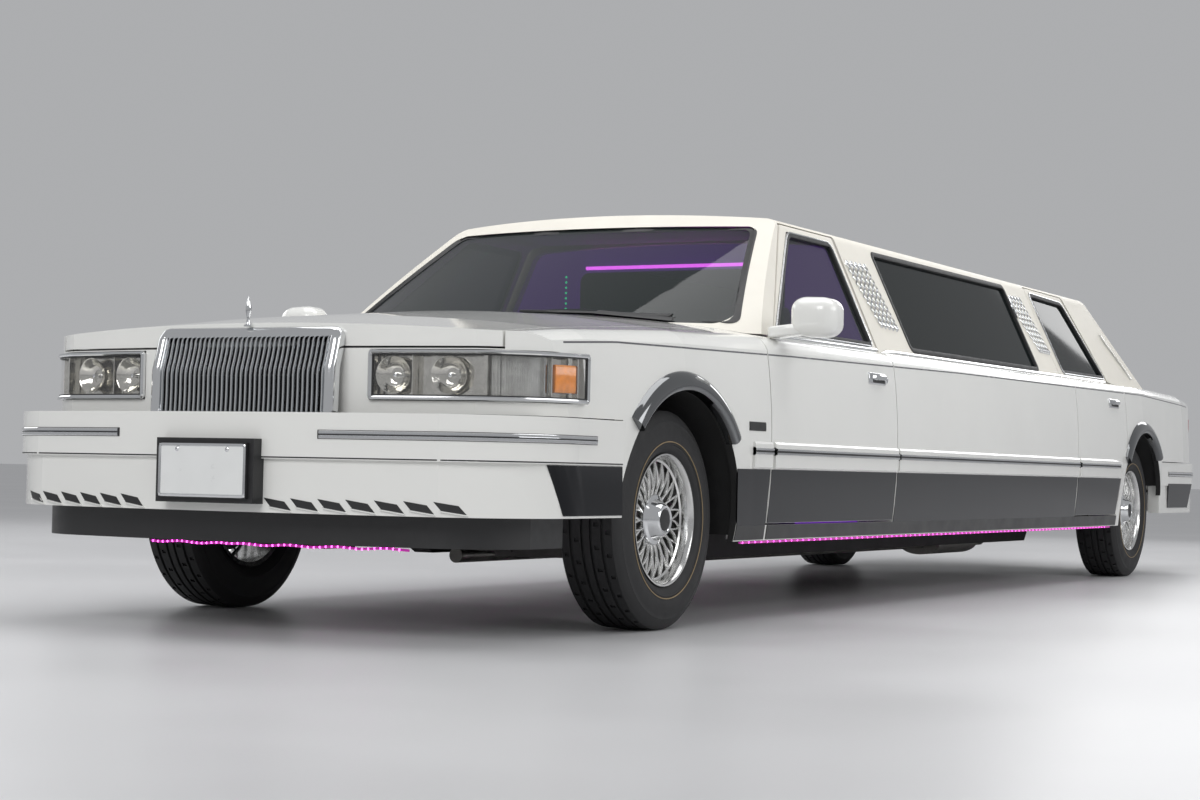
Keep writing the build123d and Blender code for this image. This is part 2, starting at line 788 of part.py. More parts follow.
# Grille: a chrome shell round upright bars that lean back at the top
grille_low = 616
grille_high = 900
grille_face = ((front(1035), grille_low), (front(1030), 770), (front(1004), 862), (front(987.5), grille_high))
bar_count = 35
with BuildPart() as grille:
    with BuildSketch(Plane.XZ.offset(grille_half)):
        with BuildLine():
            Line(grille_face[0], grille_face[1])
            ThreePointArc(grille_face[1], grille_face[2], (front(987.5), grille_high))
            Polyline((front(987.5), grille_high), (front(987), grille_low), grille_face[0])
        make_face()
    extrude(amount=-2 * grille_half)
    with BuildSketch(Plane.YZ.offset(front(900))):
        with Locations((0, (grille_low + 846) / 2 + 8)):
            RectangleRounded(2 * grille_half - 66, 846 - grille_low - 16, 20)
    extrude(amount=200, mode=Mode.SUBTRACT)
    bar_pitch = (2 * grille_half - 66) / (bar_count + 1)
    for n in range(bar_count):
        y = -grille_half + 33 + bar_pitch * (n + 1)
        with BuildSketch(Plane.XZ.offset(-y - 3)):
            with BuildLine():
                Line((front(1031), grille_low + 6), (front(1026), 770))
                ThreePointArc((front(1026), 770), (front(1009), 836), (front(1002), 856))
                Polyline(
                    (front(1002), 856),
                    (front(990), 856),
                    (front(996), grille_low + 6),
                    (front(1031), grille_low + 6),
                )
            make_face()
        extrude(amount=6)
    with BuildPart() as collar:
        add(slab(front(930), front(990), -grille_half, grille_half, bumper_top + 4, 830))
        add(slab(front(900), front(1000), -grille_half + 33, grille_half - 33, 600, 800), mode=Mode.SUBTRACT)
        add(nose_plan(-seat_gap), mode=Mode.SUBTRACT)
    add(collar.part)
finish(grille, "grille")

# Mirrors on stalks from the front corners of the door windows
for sign, side in ((1, "left"), (-1, "right")):
    with BuildPart() as mirror_part:
        with BuildSketch(Plane.XY.offset(966)):
            with BuildLine():
                Polyline(
                    (front(-731), sign * 992),
                    (front(-742), sign * 1140),
                    (front(-866), sign * 1152),
                    (front(-866), sign * 985),
                    close=True,
                )
            make_face()
        extrude(amount=130)
        fillet(mirror_part.edges().filter_by(Axis.Z), 14)
        with BuildSketch(Plane.XZ.offset(-sign * 1000)):
            with Locations((front(-842), 986)):
                Rectangle(60, 38)
        extrude(amount=sign * 103)
        add(body_middle, mode=Mode.SUBTRACT)
        add(cabin_outside, mode=Mode.SUBTRACT)
    finish(mirror_part, f"mirror_{side}")

# Floor: pan, toe board, seat riser and boot floor in one folded sheet, with the wheel houses
# and the cowl under the foot of the windscreen
pan_z = 300
sheet = 12
riser_z = 551
boot_z = 445
toe_x = front(-596)
toe_top = 930
toe_wide = 660
floor_half = door_inner_y - shut_gap
house_in_front = rail_y + rail_wide / 2 + seat_gap
house_in_rear = 648
house_low = pan_z - sheet / 2
with BuildPart() as cowl:
    add(body_front)
    add(body_front_inside, mode=Mode.SUBTRACT)
    add(
        slab(front(-860), front(-300), -hood_y - shut_gap, hood_y + shut_gap, 900, 1300),
        mode=Mode.INTERSECT,
    )
    add(
        hood_plan(hood_y + shut_gap + 1, hood_tail[0] - shut_gap, hood_tail[1] - shut_gap, 900),
        mode=Mode.SUBTRACT,
    )
with BuildPart() as toe_board:
    add(slab(toe_x - sheet / 2, toe_x + sheet / 2, -toe_wide, toe_wide, toe_top - sheet, 1200))
    add(sheet_metal(front_sections, skin / 2), mode=Mode.INTERSECT)
with BuildPart() as floor:
    with BuildSketch(Plane.XZ.offset(-floor_half)):
        with BuildLine() as fold:
            Polyline(
                (toe_x, toe_top),
                (toe_x, 520),
                (front(-760), pan_z),
                (rear(560), pan_z),
                (rear(560), riser_z),
                (rear(-560), riser_z),
            )
        trace(line_width=sheet)
    extrude(amount=2 * floor_half)
    for sign in (1, -1):
        add(
            wheel_cylinder(rear(0), house_radius + house_wall + seat_gap, sign * house_in_rear, sign * 940),
            mode=Mode.SUBTRACT,
        )
    add(
        slab(
            front(-780),
            rear(580),
            -door_inner_y + seat_gap,
            door_inner_y - seat_gap,
            pan_z - sheet / 2,
            pan_z + sheet / 2,
        )
    )
    for sign in (1, -1):
        add(hood_arm(sign, slide_gap), mode=Mode.SUBTRACT)
    add(cowl.part)
    add(toe_board.part)
finish(floor, "floor")

# Boot floor, a dished sheet stepping down behind the seat riser
with BuildPart() as boot_floor:
    with BuildSketch(Plane.XZ.offset(-floor_half)):
        with BuildLine():
            Polyline(
                (rear(-560) - seat_gap, riser_z),
                (rear(-640), riser_z),
                (rear(-700), boot_z),
                (rear(-1235), boot_z),
            )
        trace(line_width=sheet)
    extrude(amount=2 * floor_half)
    add(slab(rear(-400), rear(-560) - seat_gap, -1200, 1200, 300, 700), mode=Mode.SUBTRACT)
finish(boot_floor, "boot_floor")

# Wheel houses: half drums over the wheels, open outwards and below
with BuildPart() as wheel_houses:
    for x, inner, outer, rows in (
        (front(0), house_in_front, 965, front_sections),
        (rear(0), house_in_rear, 934, middle_sections),
    ):
        for sign in (1, -1):
            with BuildPart() as house:
                add(wheel_cylinder(x, house_radius + house_wall, sign * inner, sign * outer))
                if rows is front_sections:
                    add(sheet_metal(rows, skin + seat_gap), mode=Mode.INTERSECT)
                add(
                    wheel_cylinder(x, house_radius, sign * (inner + house_wall), sign * 1100),
                    mode=Mode.SUBTRACT,
                )
                add(slab(front(1000), rear(-1500), -1200, 1200, -200, house_low), mode=Mode.SUBTRACT)
            add(house.part)
    add(slab(front(400), front(600), -1200, 1200, -200, 1300), mode=Mode.SUBTRACT)
    add(slab(front(-300), front(300), -650, 650, 0, 520), mode=Mode.SUBTRACT)
    add(slab(rear(-300), rear(300), -700, 700, 0, 470), mode=Mode.SUBTRACT)
    for sign in (1, -1):
        add(slab(rear(-404), rear(-480), sign * (floor_half + 1), sign * 1200, -200, 1300), mode=Mode.SUBTRACT)
    add(floor.part, mode=Mode.SUBTRACT)
finish(wheel_houses, "wheel_houses")

# Ladder frame with kicked-up ends
rail_mid = pan_z - sheet / 2 - seat_gap - rail_high / 2
front_rail_z = 405
with BuildPart() as frame:
    for sign in (1, -1):
        with BuildSketch(Plane.XZ.offset(-sign * (rail_y - rail_wide / 2))):
            with BuildLine():
                Polyline(
                    (front_rail_end, front_rail_z),
                    (front(-380), front_rail_z),
                    (front(-720), rail_mid),
                    (rear(500), rail_mid),
                    (rear(280), 472),
                    (rear(-330), 472),
                    (rear(-620), 372),
                    (rear_rail_end, 372),
                )
            trace(line_width=rail_high)
        extrude(amount=-sign * rail_wide)
    for x, z in (
        (front(880), front_rail_z),
        (front(-900), rail_mid),
        (front(-1900), rail_mid),
        (front(-2900), rail_mid),
        (rear(1600), rail_mid),
        (rear(700), rail_mid),
        (rear(-760), 372),
        (rear(-1230), 372),
    ):
        with Locations((x, 0, z)):
            Box(90, 2 * (rail_y - rail_wide / 2) + 2, 60)
finish(frame, "frame")

# Engine, one closed block over the front crossmember
crossmember_top = 399
crossmember_low = 291
with BuildPart() as engine:
    with BuildSketch(Plane.YZ.offset(front(-500))):
        Polygon((-190, crossmember_top + seat_gap), (190, crossmember_top + seat_gap), (300, 640), (300, 800), (200, 850), (-200, 850), (-300, 800), (-300, 640),
                align=None)
    extrude(amount=820)
finish(engine, "engine")

# Front suspension: crossmember, lower and upper arms as far as the ball joints
kingpin_y = track_front / 2 - kingpin_inset
ball_low = 232
ball_high = 492
with BuildPart() as front_suspension:
    with Locations((front(0), 0, (crossmember_top + crossmember_low) / 2)):
        Box(190, 2 * (rail_y - rail_wide / 2) - 2 * seat_gap, crossmember_top - crossmember_low)
    for sign in (1, -1):
        with Locations((front(0), sign * 330, 262)):
            Box(190, 120, 62)
        with BuildSketch(Plane.XY.offset(ball_low - 16)):
            Polygon(
                (front(-90), sign * 330),
                (front(90), sign * 330),
                (front(28), sign * (kingpin_y + 16)),
                (front(-28), sign * (kingpin_y + 16)),
                align=None,
            )
        extrude(amount=32)
        with BuildSketch(Plane.XY.offset(ball_high - 12)):
            Polygon(
                (front(-90), sign * (rail_y + rail_wide / 2 + seat_gap)),
                (front(90), sign * (rail_y + rail_wide / 2 + seat_gap)),
                (front(24), sign * (kingpin_y + 16)),
                (front(-24), sign * (kingpin_y + 16)),
                align=None,
            )
        extrude(amount=24)
        with Locations((front(0), sign * (rail_y + rail_wide / 2 + seat_gap + 14), 450)):
            Box(120, 28, 100)
finish(front_suspension, "front_suspension")

# Knuckles turn about upright kingpins, between the arms, and carry the hub spindles
knuckle_low = ball_low + 16 + seat_gap
knuckle_high = ball_high - 12 - seat_gap
kingpin_radius = 25
for sign, side in ((1, "left"), (-1, "right")):
    with BuildPart() as knuckle:
        with BuildSketch(Plane.XY.offset(knuckle_low)):
            with Locations((front(0), sign * kingpin_y)):
                Circle(kingpin_radius)
        extrude(amount=knuckle_high - knuckle_low)
        with BuildSketch(Plane.XZ.offset(-sign * kingpin_y)):
            with Locations((front(0), tyre_radius)):
                Circle(spindle_radius)
        extrude(amount=-sign * (kingpin_inset + 42))
    finish(knuckle, f"knuckle_{side}")

# Rear axle: beam, differential and the arms that locate it on the frame
with BuildPart() as rear_axle:
    with BuildSketch(Plane.XZ.offset(track_rear / 2 - 74)):
        with Locations((rear(0), tyre_radius)):
            Circle(40)
    extrude(amount=-(track_rear - 148))
    with BuildSketch(Plane.XZ.offset(track_rear / 2 + 44)):
        with Locations((rear(0), tyre_radius)):
            Circle(spindle_radius)
    extrude(amount=-(track_rear + 88))
    with BuildSketch(Plane(origin=(rear(0), 0, tyre_radius))):
        with BuildLine():
            Polyline((0, -120), (90, -70), (132, 0), (90, 70), (0, 120), close=True)
        make_face()
    revolve(axis=Axis((rear(0), 0, tyre_radius), (0, 1, 0)))
    for sign in (1, -1):
        with Locations((rear(240), sign * (rail_y + rail_wide / 2 + seat_gap + 22), 300)):
            Box(520, 44, 44)
finish(rear_axle, "rear_axle")

# Exhaust, one pipe a side with a muffler under the floor
pipe_radius = 27
pipe_z = rail_mid - 30 - pipe_radius - seat_gap
for_pipe = (
    (front(-620), pipe_z),
    (rear(520), pipe_z),
    (rear(190), 428),
    (rear(-210), 428),
    (rear(-520), 292),
    (rear(-1400), 292),
)
with BuildPart() as exhaust:
    for sign in (1, -1):
        with BuildLine(Plane.XZ.offset(-sign * 250)) as route:
            Polyline(*for_pipe)
        with BuildSketch(Plane(origin=(front(-620), sign * 250, pipe_z), z_dir=(-1, 0, 0))):
            Circle(pipe_radius)
        sweep(path=route.line, transition=Transition.RIGHT)
        with BuildSketch(Plane.YZ.offset(rear(860))):
            with Locations((sign * 250, 182)):
                Ellipse(105, 58)
        extrude(amount=560)
finish(exhaust, "exhaust")

# Tyres and rims, the same on all four corners
wheel_places = (
    ("front_left", front(0), track_front / 2, 1),
    ("front_right", front(0), track_front / 2, -1),
    ("rear_left", rear(0), track_rear / 2, 1),
    ("rear_right", rear(0), track_rear / 2, -1),
)
tyre_half_profile = (
    (bead_radius, 84),
    (264, tyre_width / 2),
    (322, 100),
    (tyre_radius, tread_width / 2),
)
rim_face = 92
spoke_root = 74
spoke_count = 12
for name, x, y, sign in wheel_places:
    with BuildPart() as tyre:
        with BuildSketch(Plane(origin=(x, sign * y, tyre_radius))):
            with BuildLine():
                Polyline(
                    *tyre_half_profile,
                    *[(r, -w) for r, w in reversed(tyre_half_profile)],
                    close=True,
                )
            make_face()
        revolve(axis=Axis((x, 0, tyre_radius), (0, 1, 0)))
    finish(tyre, f"tyre_{name}")
    with BuildPart() as rim:
        with BuildSketch(Plane(origin=(x, sign * y, tyre_radius))):
            with BuildLine():
                Polyline(
                    (rim_lip, sign * (rim_face + 4)),
                    (rim_lip, sign * (rim_face - 3)),
                    (bead_radius - seat_gap, sign * (rim_face - 7)),
                    (bead_radius - seat_gap, -sign * (rim_face - 2)),
                    (bead_radius - 12, -sign * (rim_face - 2)),
                    (bead_radius - 12, sign * (rim_face - 24)),
                    (bead_radius - 2, sign * (rim_face + 4)),
                    close=True,
                )
            make_face()
        revolve(axis=Axis((x, 0, tyre_radius), (0, 1, 0)))
        with BuildSketch(Plane.XZ.offset(-sign * (y + 20))):
            with Locations((x, tyre_radius)):
                Circle(spoke_root)
                Circle(spindle_radius + slide_gap, mode=Mode.SUBTRACT)
        extrude(amount=-sign * 36)
        with BuildSketch(Plane.XZ.offset(-sign * (y + 54))):
            with Locations((x, tyre_radius)):
                Circle(34)
        extrude(amount=-sign * 34)
        with BuildSketch(Plane.XZ.offset(-sign * (y + 36))):
            with Locations((x, tyre_radius)):
                with PolarLocations(0, spoke_count):
                    with Locations((130, 0)):
                        Rectangle(132, 15, rotation=13)
                        Rectangle(132, 15, rotation=-13)
        extrude(amount=-sign * 26)
    finish(rim, f"rim_{name}")

# Dashboard with its steering column, and the steering wheel
wheel_tilt = 28
wheel_hub = (front(-1190), 380, 850)
rim_plane = Plane(
    origin=wheel_hub,
    z_dir=(-math.cos(math.radians(wheel_tilt)), 0, math.sin(math.radians(wheel_tilt))),
)
column_radius = 24
column_start = 60
column_long = 230
column_deep = 120
with BuildPart() as dashboard:
    with BuildSketch(Plane.XZ.offset(-(door_inner_y - 40))):
        with BuildLine():
            Polyline(
                (toe_x - sheet / 2 - seat_gap, 700),
                (toe_x - sheet / 2 - seat_gap, 905),
                (front(-760), 945),
                (front(-960), 930),
                (front(-1010), 860),
                (front(-940), 720),
                (front(-860), 660),
                close=True,
            )
        make_face()
    extrude(amount=2 * (door_inner_y - 40))
    with BuildSketch(rim_plane.offset(-column_start)):
        Circle(column_radius + 12)
    extrude(amount=-column_long)
    with BuildSketch(rim_plane.offset(-column_start)):
        Circle(column_radius + slide_gap)
    extrude(amount=-column_deep - 10, mode=Mode.SUBTRACT)
finish(dashboard, "dashboard")

with BuildPart() as steering_wheel:
    with BuildSketch(Plane(origin=rim_plane.origin, x_dir=rim_plane.x_dir, z_dir=rim_plane.y_dir)):
        with Locations((186, 0)):
            RegularPolygon(15, 6)
    revolve(axis=Axis(rim_plane.origin, rim_plane.z_dir))
    with BuildSketch(rim_plane):
        Rectangle(360, 40)
        Circle(58)
    extrude(amount=-24)
    with BuildSketch(rim_plane):
        Circle(column_radius)
    extrude(amount=-column_start - column_deep)
finish(steering_wheel, "steering_wheel")

# Seats: two in front, a bench and a long side sofa behind the partition
with BuildPart() as front_seats:
    for sign in (1, -1):
        with BuildSketch(Plane.XZ.offset(-sign * 130)):
            with BuildLine():
                Polyline(
                    (front(-1160), pan_z + sheet / 2 + seat_gap),
                    (front(-1160), 560),
                    (front(-1180), 590),
                    (front(-1600), 560),
                    (front(-1700), 990),
                    (front(-1690), 1150),
                    (front(-1740), 1160),
                    (front(-1800), 1000),
                    (front(-1760), pan_z + sheet / 2 + seat_gap),
                    close=True,
                )
            make_face()
        extrude(amount=-sign * 560)
finish(front_seats, "front_seats")

with BuildPart() as partition:
    add(slab(front(-1930), front(-1900), -door_inner_y - 100, door_inner_y + 100, 940, 1500))
    add(cabin(roof_wall + 1), mode=Mode.INTERSECT)
    add(
        slab(
            front(-1930),
            front(-1900),
            -door_inner_y + seat_gap,
            door_inner_y - seat_gap,
            pan_z + sheet / 2 + seat_gap,
            962,
        )
    )
    add(body_shell.part, mode=Mode.SUBTRACT)
    with BuildSketch(Plane.YZ.offset(front(-2000))):
        with Locations((0, 1175)):
            RectangleRounded(940, 290, 40)
    extrude(amount=200, mode=Mode.SUBTRACT)
finish(partition, "partition")

with BuildPart() as rear_seats:
    bench_half = house_in_rear - 12
    with BuildSketch(Plane.XZ.offset(-bench_half)):
        with BuildLine():
            Polyline(
                (rear(650), pan_z + sheet / 2 + seat_gap),
                (rear(650), 650),
                (rear(630), 680),
                (rear(270), 655),
                (rear(150), 1130),
                (rear(30), 1130),
                (rear(30), riser_z + sheet / 2 + seat_gap),
                (rear(568), riser_z + sheet / 2 + seat_gap),
                (rear(568), pan_z + sheet / 2 + seat_gap),
                close=True,
            )
        make_face()
    extrude(amount=2 * bench_half)
    with BuildSketch(Plane.YZ.offset(front(-2300))):
        with BuildLine():
            Polyline(
                (-790, pan_z + sheet / 2 + seat_gap),
                (-790, 1000),
                (-720, 1040),
                (-660, 1000),
                (-620, 620),
                (-240, 640),
                (-230, 600),
                (-230, pan_z + sheet / 2 + seat_gap),
                close=True,
            )
        make_face()
    extrude(amount=rear(1500) - front(-2300))
finish(rear_seats, "rear_seats")

# Light rope under the air dam and along both sills
rope_radius = 6
rope_side_z = sill_z - rope_radius - seat_gap
with BuildPart() as light_rope:
    for sign in (1, -1):
        with BuildSketch(Plane.YZ.offset(front(-500))):
            with Locations((sign * 925, rope_side_z)):
                Circle(rope_radius)
        extrude(amount=rear(480) - front(-500))
    add(
        wrap(
            *dam_plan,
            front(640),
            12,
            dam_low - 2 * rope_radius - seat_gap,
            dam_low - seat_gap,
        )
    )
finish(light_rope, "light_rope")
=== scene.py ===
"""Looks of a white stretch limousine with a padded cream roof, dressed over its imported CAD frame.

Metres, +X to the car's front, +Y to its left, +Z up, the ground at z 0.
"""
import json
import math

import bmesh
import bpy
from mathutils import Matrix, Vector
from mathutils.bvhtree import BVHTree


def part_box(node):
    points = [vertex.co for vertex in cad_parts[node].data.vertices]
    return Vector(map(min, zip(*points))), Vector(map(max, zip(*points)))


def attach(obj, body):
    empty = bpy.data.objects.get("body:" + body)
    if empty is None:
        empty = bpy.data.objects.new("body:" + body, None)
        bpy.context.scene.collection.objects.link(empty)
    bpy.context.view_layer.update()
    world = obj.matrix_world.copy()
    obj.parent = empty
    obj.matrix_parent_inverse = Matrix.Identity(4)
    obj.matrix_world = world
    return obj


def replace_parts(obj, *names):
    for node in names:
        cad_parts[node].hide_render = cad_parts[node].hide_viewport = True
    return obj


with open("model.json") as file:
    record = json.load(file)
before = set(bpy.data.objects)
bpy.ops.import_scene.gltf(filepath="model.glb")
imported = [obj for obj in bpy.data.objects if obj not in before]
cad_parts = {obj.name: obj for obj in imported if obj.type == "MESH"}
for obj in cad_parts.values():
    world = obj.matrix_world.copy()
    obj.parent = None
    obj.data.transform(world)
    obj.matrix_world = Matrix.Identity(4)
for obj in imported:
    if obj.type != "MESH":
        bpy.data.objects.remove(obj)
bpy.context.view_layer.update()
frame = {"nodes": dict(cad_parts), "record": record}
nodes = frame["nodes"]

# Camera: stands low ahead of the car's left front corner, where the photographer stood.
# Its place and turn were fitted to the wheels, so the picture frames the car as the photo does.
front_axle_x, wheelbase = 2.8775, 5.52
rear_axle_x = front_axle_x - wheelbase
focal_pixels, photo_width = 2295.6, 1200
camera_data = bpy.data.cameras.new("camera")
camera = bpy.data.objects.new("camera", camera_data)
bpy.context.collection.objects.link(camera)
bpy.context.scene.camera = camera
camera_data.sensor_width = 36
camera_data.lens = 36 * focal_pixels / photo_width
camera_place = (front_axle_x + 6.48122, 4.08604, 0.4935)
yaw, pitch, roll = 3.62846, 0.03123, 0.02025
look = Vector((math.cos(yaw) * math.cos(pitch), math.sin(yaw) * math.cos(pitch), math.sin(pitch)))
across = look.cross(Vector((0, 0, 1))).normalized()
upward = across.cross(look)
camera_right = across * math.cos(roll) + upward * math.sin(roll)
camera_up = upward * math.cos(roll) - across * math.sin(roll)
camera_turn = Matrix((camera_right, camera_up, -look)).transposed().to_4x4()
camera.matrix_world = Matrix.Translation(camera_place) @ camera_turn


def finish_of(name, slot, colour, roughness, metallic=0.0, mottle=0.05, mottle_scale=4.0, rough_spread=0.06,
              bumps=(), stretch=(1, 1, 1), **sockets):
    """Material whose colour and roughness drift with a soft noise, with one bump a row of
    (texture, scale, strength, depth) on Object coordinates; the slot argument is not used."""
    material = bpy.data.materials.new(name)
    material.use_nodes = True
    tree = material.node_tree
    link = tree.links.new
    surface = tree.nodes["Principled BSDF"]

    def node(kind, **values):
        made = tree.nodes.new("ShaderNode" + kind)
        for key, value in values.items():
            made.inputs[key.replace("_", " ")].default_value = value
        return made

    place = node("TexCoord").outputs["Object"]
    drift = node("TexNoise", Scale=mottle_scale, Detail=5)
    link(place, drift.inputs["Vector"])
    tint = node("ValToRGB")
    for stop, position, factor in zip(tint.color_ramp.elements, (0.3, 0.7), (1 - mottle, 1 + mottle)):
        stop.position = position
        stop.color = (*[min(1, c * factor) for c in colour], 1)
    link(drift.outputs["Fac"], tint.inputs["Fac"])
    link(tint.outputs["Color"], surface.inputs["Base Color"])
    gloss = node("MapRange", From_Min=0.3, From_Max=0.7, To_Min=max(0.0, roughness - rough_spread),
                 To_Max=roughness + rough_spread)
    link(drift.outputs["Fac"], gloss.inputs["Value"])
    link(gloss.outputs["Result"], surface.inputs["Roughness"])
    surface.inputs["Metallic"].default_value = metallic
    for key, value in sockets.items():
        surface.inputs[key.replace("_", " ")].default_value = value
    last = None
    for kind, scale, strength, depth in bumps:
        texture = node("Tex" + kind, Scale=scale)
        vector = place
        if stretch != (1, 1, 1):
            mapping = node("Mapping", Scale=stretch)
            link(place, mapping.inputs["Vector"])
            vector = mapping.outputs["Vector"]
        link(vector, texture.inputs["Vector"])
        bump = node("Bump", Strength=strength, Distance=depth)
        link(texture.outputs["Distance" if kind == "Voronoi" else "Fac"], bump.inputs["Height"])
        if last:
            link(last, bump.inputs["Normal"])
        last = bump.outputs["Normal"]
    if last:
        link(last, surface.inputs["Normal"])
    return material


bpy.ops.object.select_all(action="DESELECT")
bpy.ops.mesh.primitive_plane_add(size=400, location=(0, 0, 0))
studio_floor = bpy.context.object
studio_floor.name = "studio_floor"
studio_floor.data.materials.append(
    finish_of("studio_floor_paint", None, (0.60, 0.60, 0.61), 0.34, mottle=0.03, mottle_scale=0.6)
)
sky = bpy.data.worlds.new("studio_sky")
bpy.context.scene.world = sky
sky.use_nodes = True
background = sky.node_tree.nodes["Background"]
background.inputs["Color"].default_value = (0.80, 0.81, 0.83, 1)
background.inputs["Strength"].default_value = 0.52
for lamp_name, place, size, power in (
    ("overhead_panel", (1.0, 0.5, 6.5), (9.0, 5.0), 300),
    ("nose_panel", (9.5, 0.5, 4.5), (4.0, 3.0), 190),
    ("left_panel", (1.0, 8.5, 4.0), (8.0, 3.0), 215),
    ("right_panel", (0.0, -8.5, 4.0), (8.0, 3.0), 150),
    ("tail_panel", (-9.5, 0.0, 4.0), (4.0, 3.0), 110),
):
    lamp_data = bpy.data.lights.new(lamp_name, "AREA")
    lamp_data.shape = "RECTANGLE"
    lamp_data.size, lamp_data.size_y = size
    lamp_data.energy = power
    lamp = bpy.data.objects.new(lamp_name, lamp_data)
    lamp.location = place
    lamp.rotation_euler = (Vector((0, 0, 0.6)) - Vector(place)).to_track_quat("-Z", "Y").to_euler()
    bpy.context.collection.objects.link(lamp)
bpy.context.scene.view_settings.view_transform = "Standard"

# Painted panels: hood, fenders, doors, shell, boot lid and bumpers in gloss white, black in the arches.
# Pressed steel under a clear coat; each keeps its CAD panel's form.
white_paint = finish_of("white_clear_coat", "white_paint", (0.83, 0.83, 0.80), 0.22, mottle=0.012,
                        mottle_scale=2.2, rough_spread=0.04, bumps=(("Noise", 900, 0.02, 0.0003),),
                        Coat_Weight=0.9, Coat_Roughness=0.04)
underseal = finish_of("underseal_black", "chassis_black", (0.018, 0.018, 0.018), 0.7, mottle=0.2,
                      mottle_scale=12, bumps=(("Noise", 160, 0.4, 0.0015),))
wheel_height = 0.346
wing_arch_edge, door_arch_edge = 0.4086, 0.4727
sides = (("left", 1), ("right", -1))


def coat(piece, material):
    """Gives a piece its one finish."""
    piece.data.materials.clear()
    piece.data.materials.append(material)


def dress(material, *names, slot=None):
    """Gives CAD nodes their finish; their shape and true surface normals stay as they are."""
    for name in names:
        coat(nodes[name], material)


def paint_where(node, material, rule):
    """Gives a second finish to a CAD node's faces whose centre the rule accepts."""
    mesh = nodes[node].data
    mesh.materials.append(material)
    for face in mesh.polygons:
        if rule(face.center):
            face.material_index = len(mesh.materials) - 1


def in_arch(axle_x, radius):
    """Rule for the turned-in edge of the wheel arch of that radius."""
    def rule(at):
        if at.z > wheel_height:
            return math.hypot(at.x - axle_x, at.z - wheel_height) < radius
        return abs(at.x - axle_x) < radius
    return rule


doors = [f"{place}_door_{side_name}" for side_name, side in sides for place in ("front", "rear")]
dress(white_paint, "hood", "front_fenders", "body_shell", "trunk_lid", "bumpers", *doors)
paint_where("front_fenders", underseal, in_arch(front_axle_x, wing_arch_edge))
paint_where("body_shell", underseal, in_arch(rear_axle_x, wing_arch_edge))

# Padded roof: cream vinyl over foam on the roof, the pillars and the doors' window frames.
# Its grain is fine and leathery, and stitched beads close it at the header and along the eaves.
cream_vinyl = finish_of("cream_padded_vinyl", "cream_vinyl", (0.78, 0.75, 0.675), 0.52, mottle=0.03,
                        mottle_scale=6, bumps=(("Voronoi", 420, 0.35, 0.0006), ("Noise", 60, 0.15, 0.0012)))
door_card = finish_of("door_card_grey", None, (0.10, 0.098, 0.105), 0.6, mottle=0.1, mottle_scale=10,
                      bumps=(("Noise", 300, 0.2, 0.0006),))
frame_foot, card_top, door_inner_y, door_underside = 0.992, 0.985, 0.8135, 0.332
dress(cream_vinyl, "roof")
for door in doors:
    paint_where(door, cream_vinyl, lambda at: at.z > frame_foot)
    if door.startswith("rear"):
        paint_where(door, underseal, in_arch(rear_axle_x, door_arch_edge))
    paint_where(door, underseal, lambda at: at.z < door_underside)
    paint_where(door, door_card, lambda at: at.z < card_top and abs(at.y) < door_inner_y)


def front(u):
    """X of a place u millimetres ahead of the front axle."""
    return front_axle_x + u / 1000


def rear(v):
    """X of a place v millimetres ahead of the rear axle."""
    return rear_axle_x + v / 1000


def only(*pieces):
    """Leaves these pieces selected and the first active, for the operators."""
    bpy.ops.object.select_all(action="DESELECT")
    for piece in pieces:
        piece.select_set(True)
    bpy.context.view_layer.objects.active = pieces[0]


def begin(kind, **settings):
    """New primitive, alone in the selection."""
    bpy.ops.object.select_all(action="DESELECT")
    getattr(bpy.ops.mesh, f"primitive_{kind}_add")(**settings)
    return bpy.context.object


def edit():
    """Opens the active piece in edit mode, all selected, and gives its shape."""
    bpy.ops.object.mode_set(mode="EDIT")
    bpy.ops.mesh.select_all(action="SELECT")
    shape = bmesh.from_edit_mesh(bpy.context.object.data)
    shape.verts.ensure_lookup_table()
    return shape


def close_edit():
    """Leaves edit mode."""
    bpy.ops.mesh.select_mode(type="VERT")
    bpy.ops.object.mode_set(mode="OBJECT")


def pick(kind, rule):
    """In edit mode, leaves only the edges or faces selected that the rule accepts."""
    bpy.ops.mesh.select_mode(type=kind)
    bpy.ops.mesh.select_all(action="DESELECT")
    mesh = bpy.context.object.data
    shape = bmesh.from_edit_mesh(mesh)
    for part in shape.edges if kind == "EDGE" else shape.faces:
        if rule(part):
            part.select_set(True)
    bmesh.update_edit_mesh(mesh)


def reach_x(part):
    """How far an edge or face runs along X."""
    places = [vertex.co.x for vertex in part.verts]
    return max(places) - min(places)


def outline_piece(points, fill="NGON"):
    """Flat face, or its bare edge, through points of (X, Y, Z), left open in edit mode."""
    piece = begin("circle", vertices=len(points), radius=1, fill_type=fill)
    shape = edit()
    for vertex, point in zip(shape.verts, points):
        vertex.co = point
    bmesh.update_edit_mesh(piece.data)
    return piece


def strip(section, t0, t1, cuts):
    """Closed bar along local X from t0 to t1, of a section of (height, proud) points, cut across."""
    bar = outline_piece([(t0, proud, height) for height, proud in section])
    bpy.ops.mesh.extrude_region_move(TRANSFORM_OT_translate={"value": (t1 - t0, 0, 0)})
    pick("EDGE", lambda edge: reach_x(edge) > 1e-6)
    if cuts:
        bpy.ops.mesh.subdivide(number_cuts=cuts)
    close_edit()
    return bar


def low_bead(high, proud, sunk=0.002):
    """Section of a trim strip with rounded edges, high metres across and proud of its panel."""
    half = high / 2
    return ((-half, -sunk), (-half, proud * 0.55), (-half * 0.62, proud), (half * 0.62, proud),
            (half, proud * 0.55), (half, -sunk))


surfaces = {}


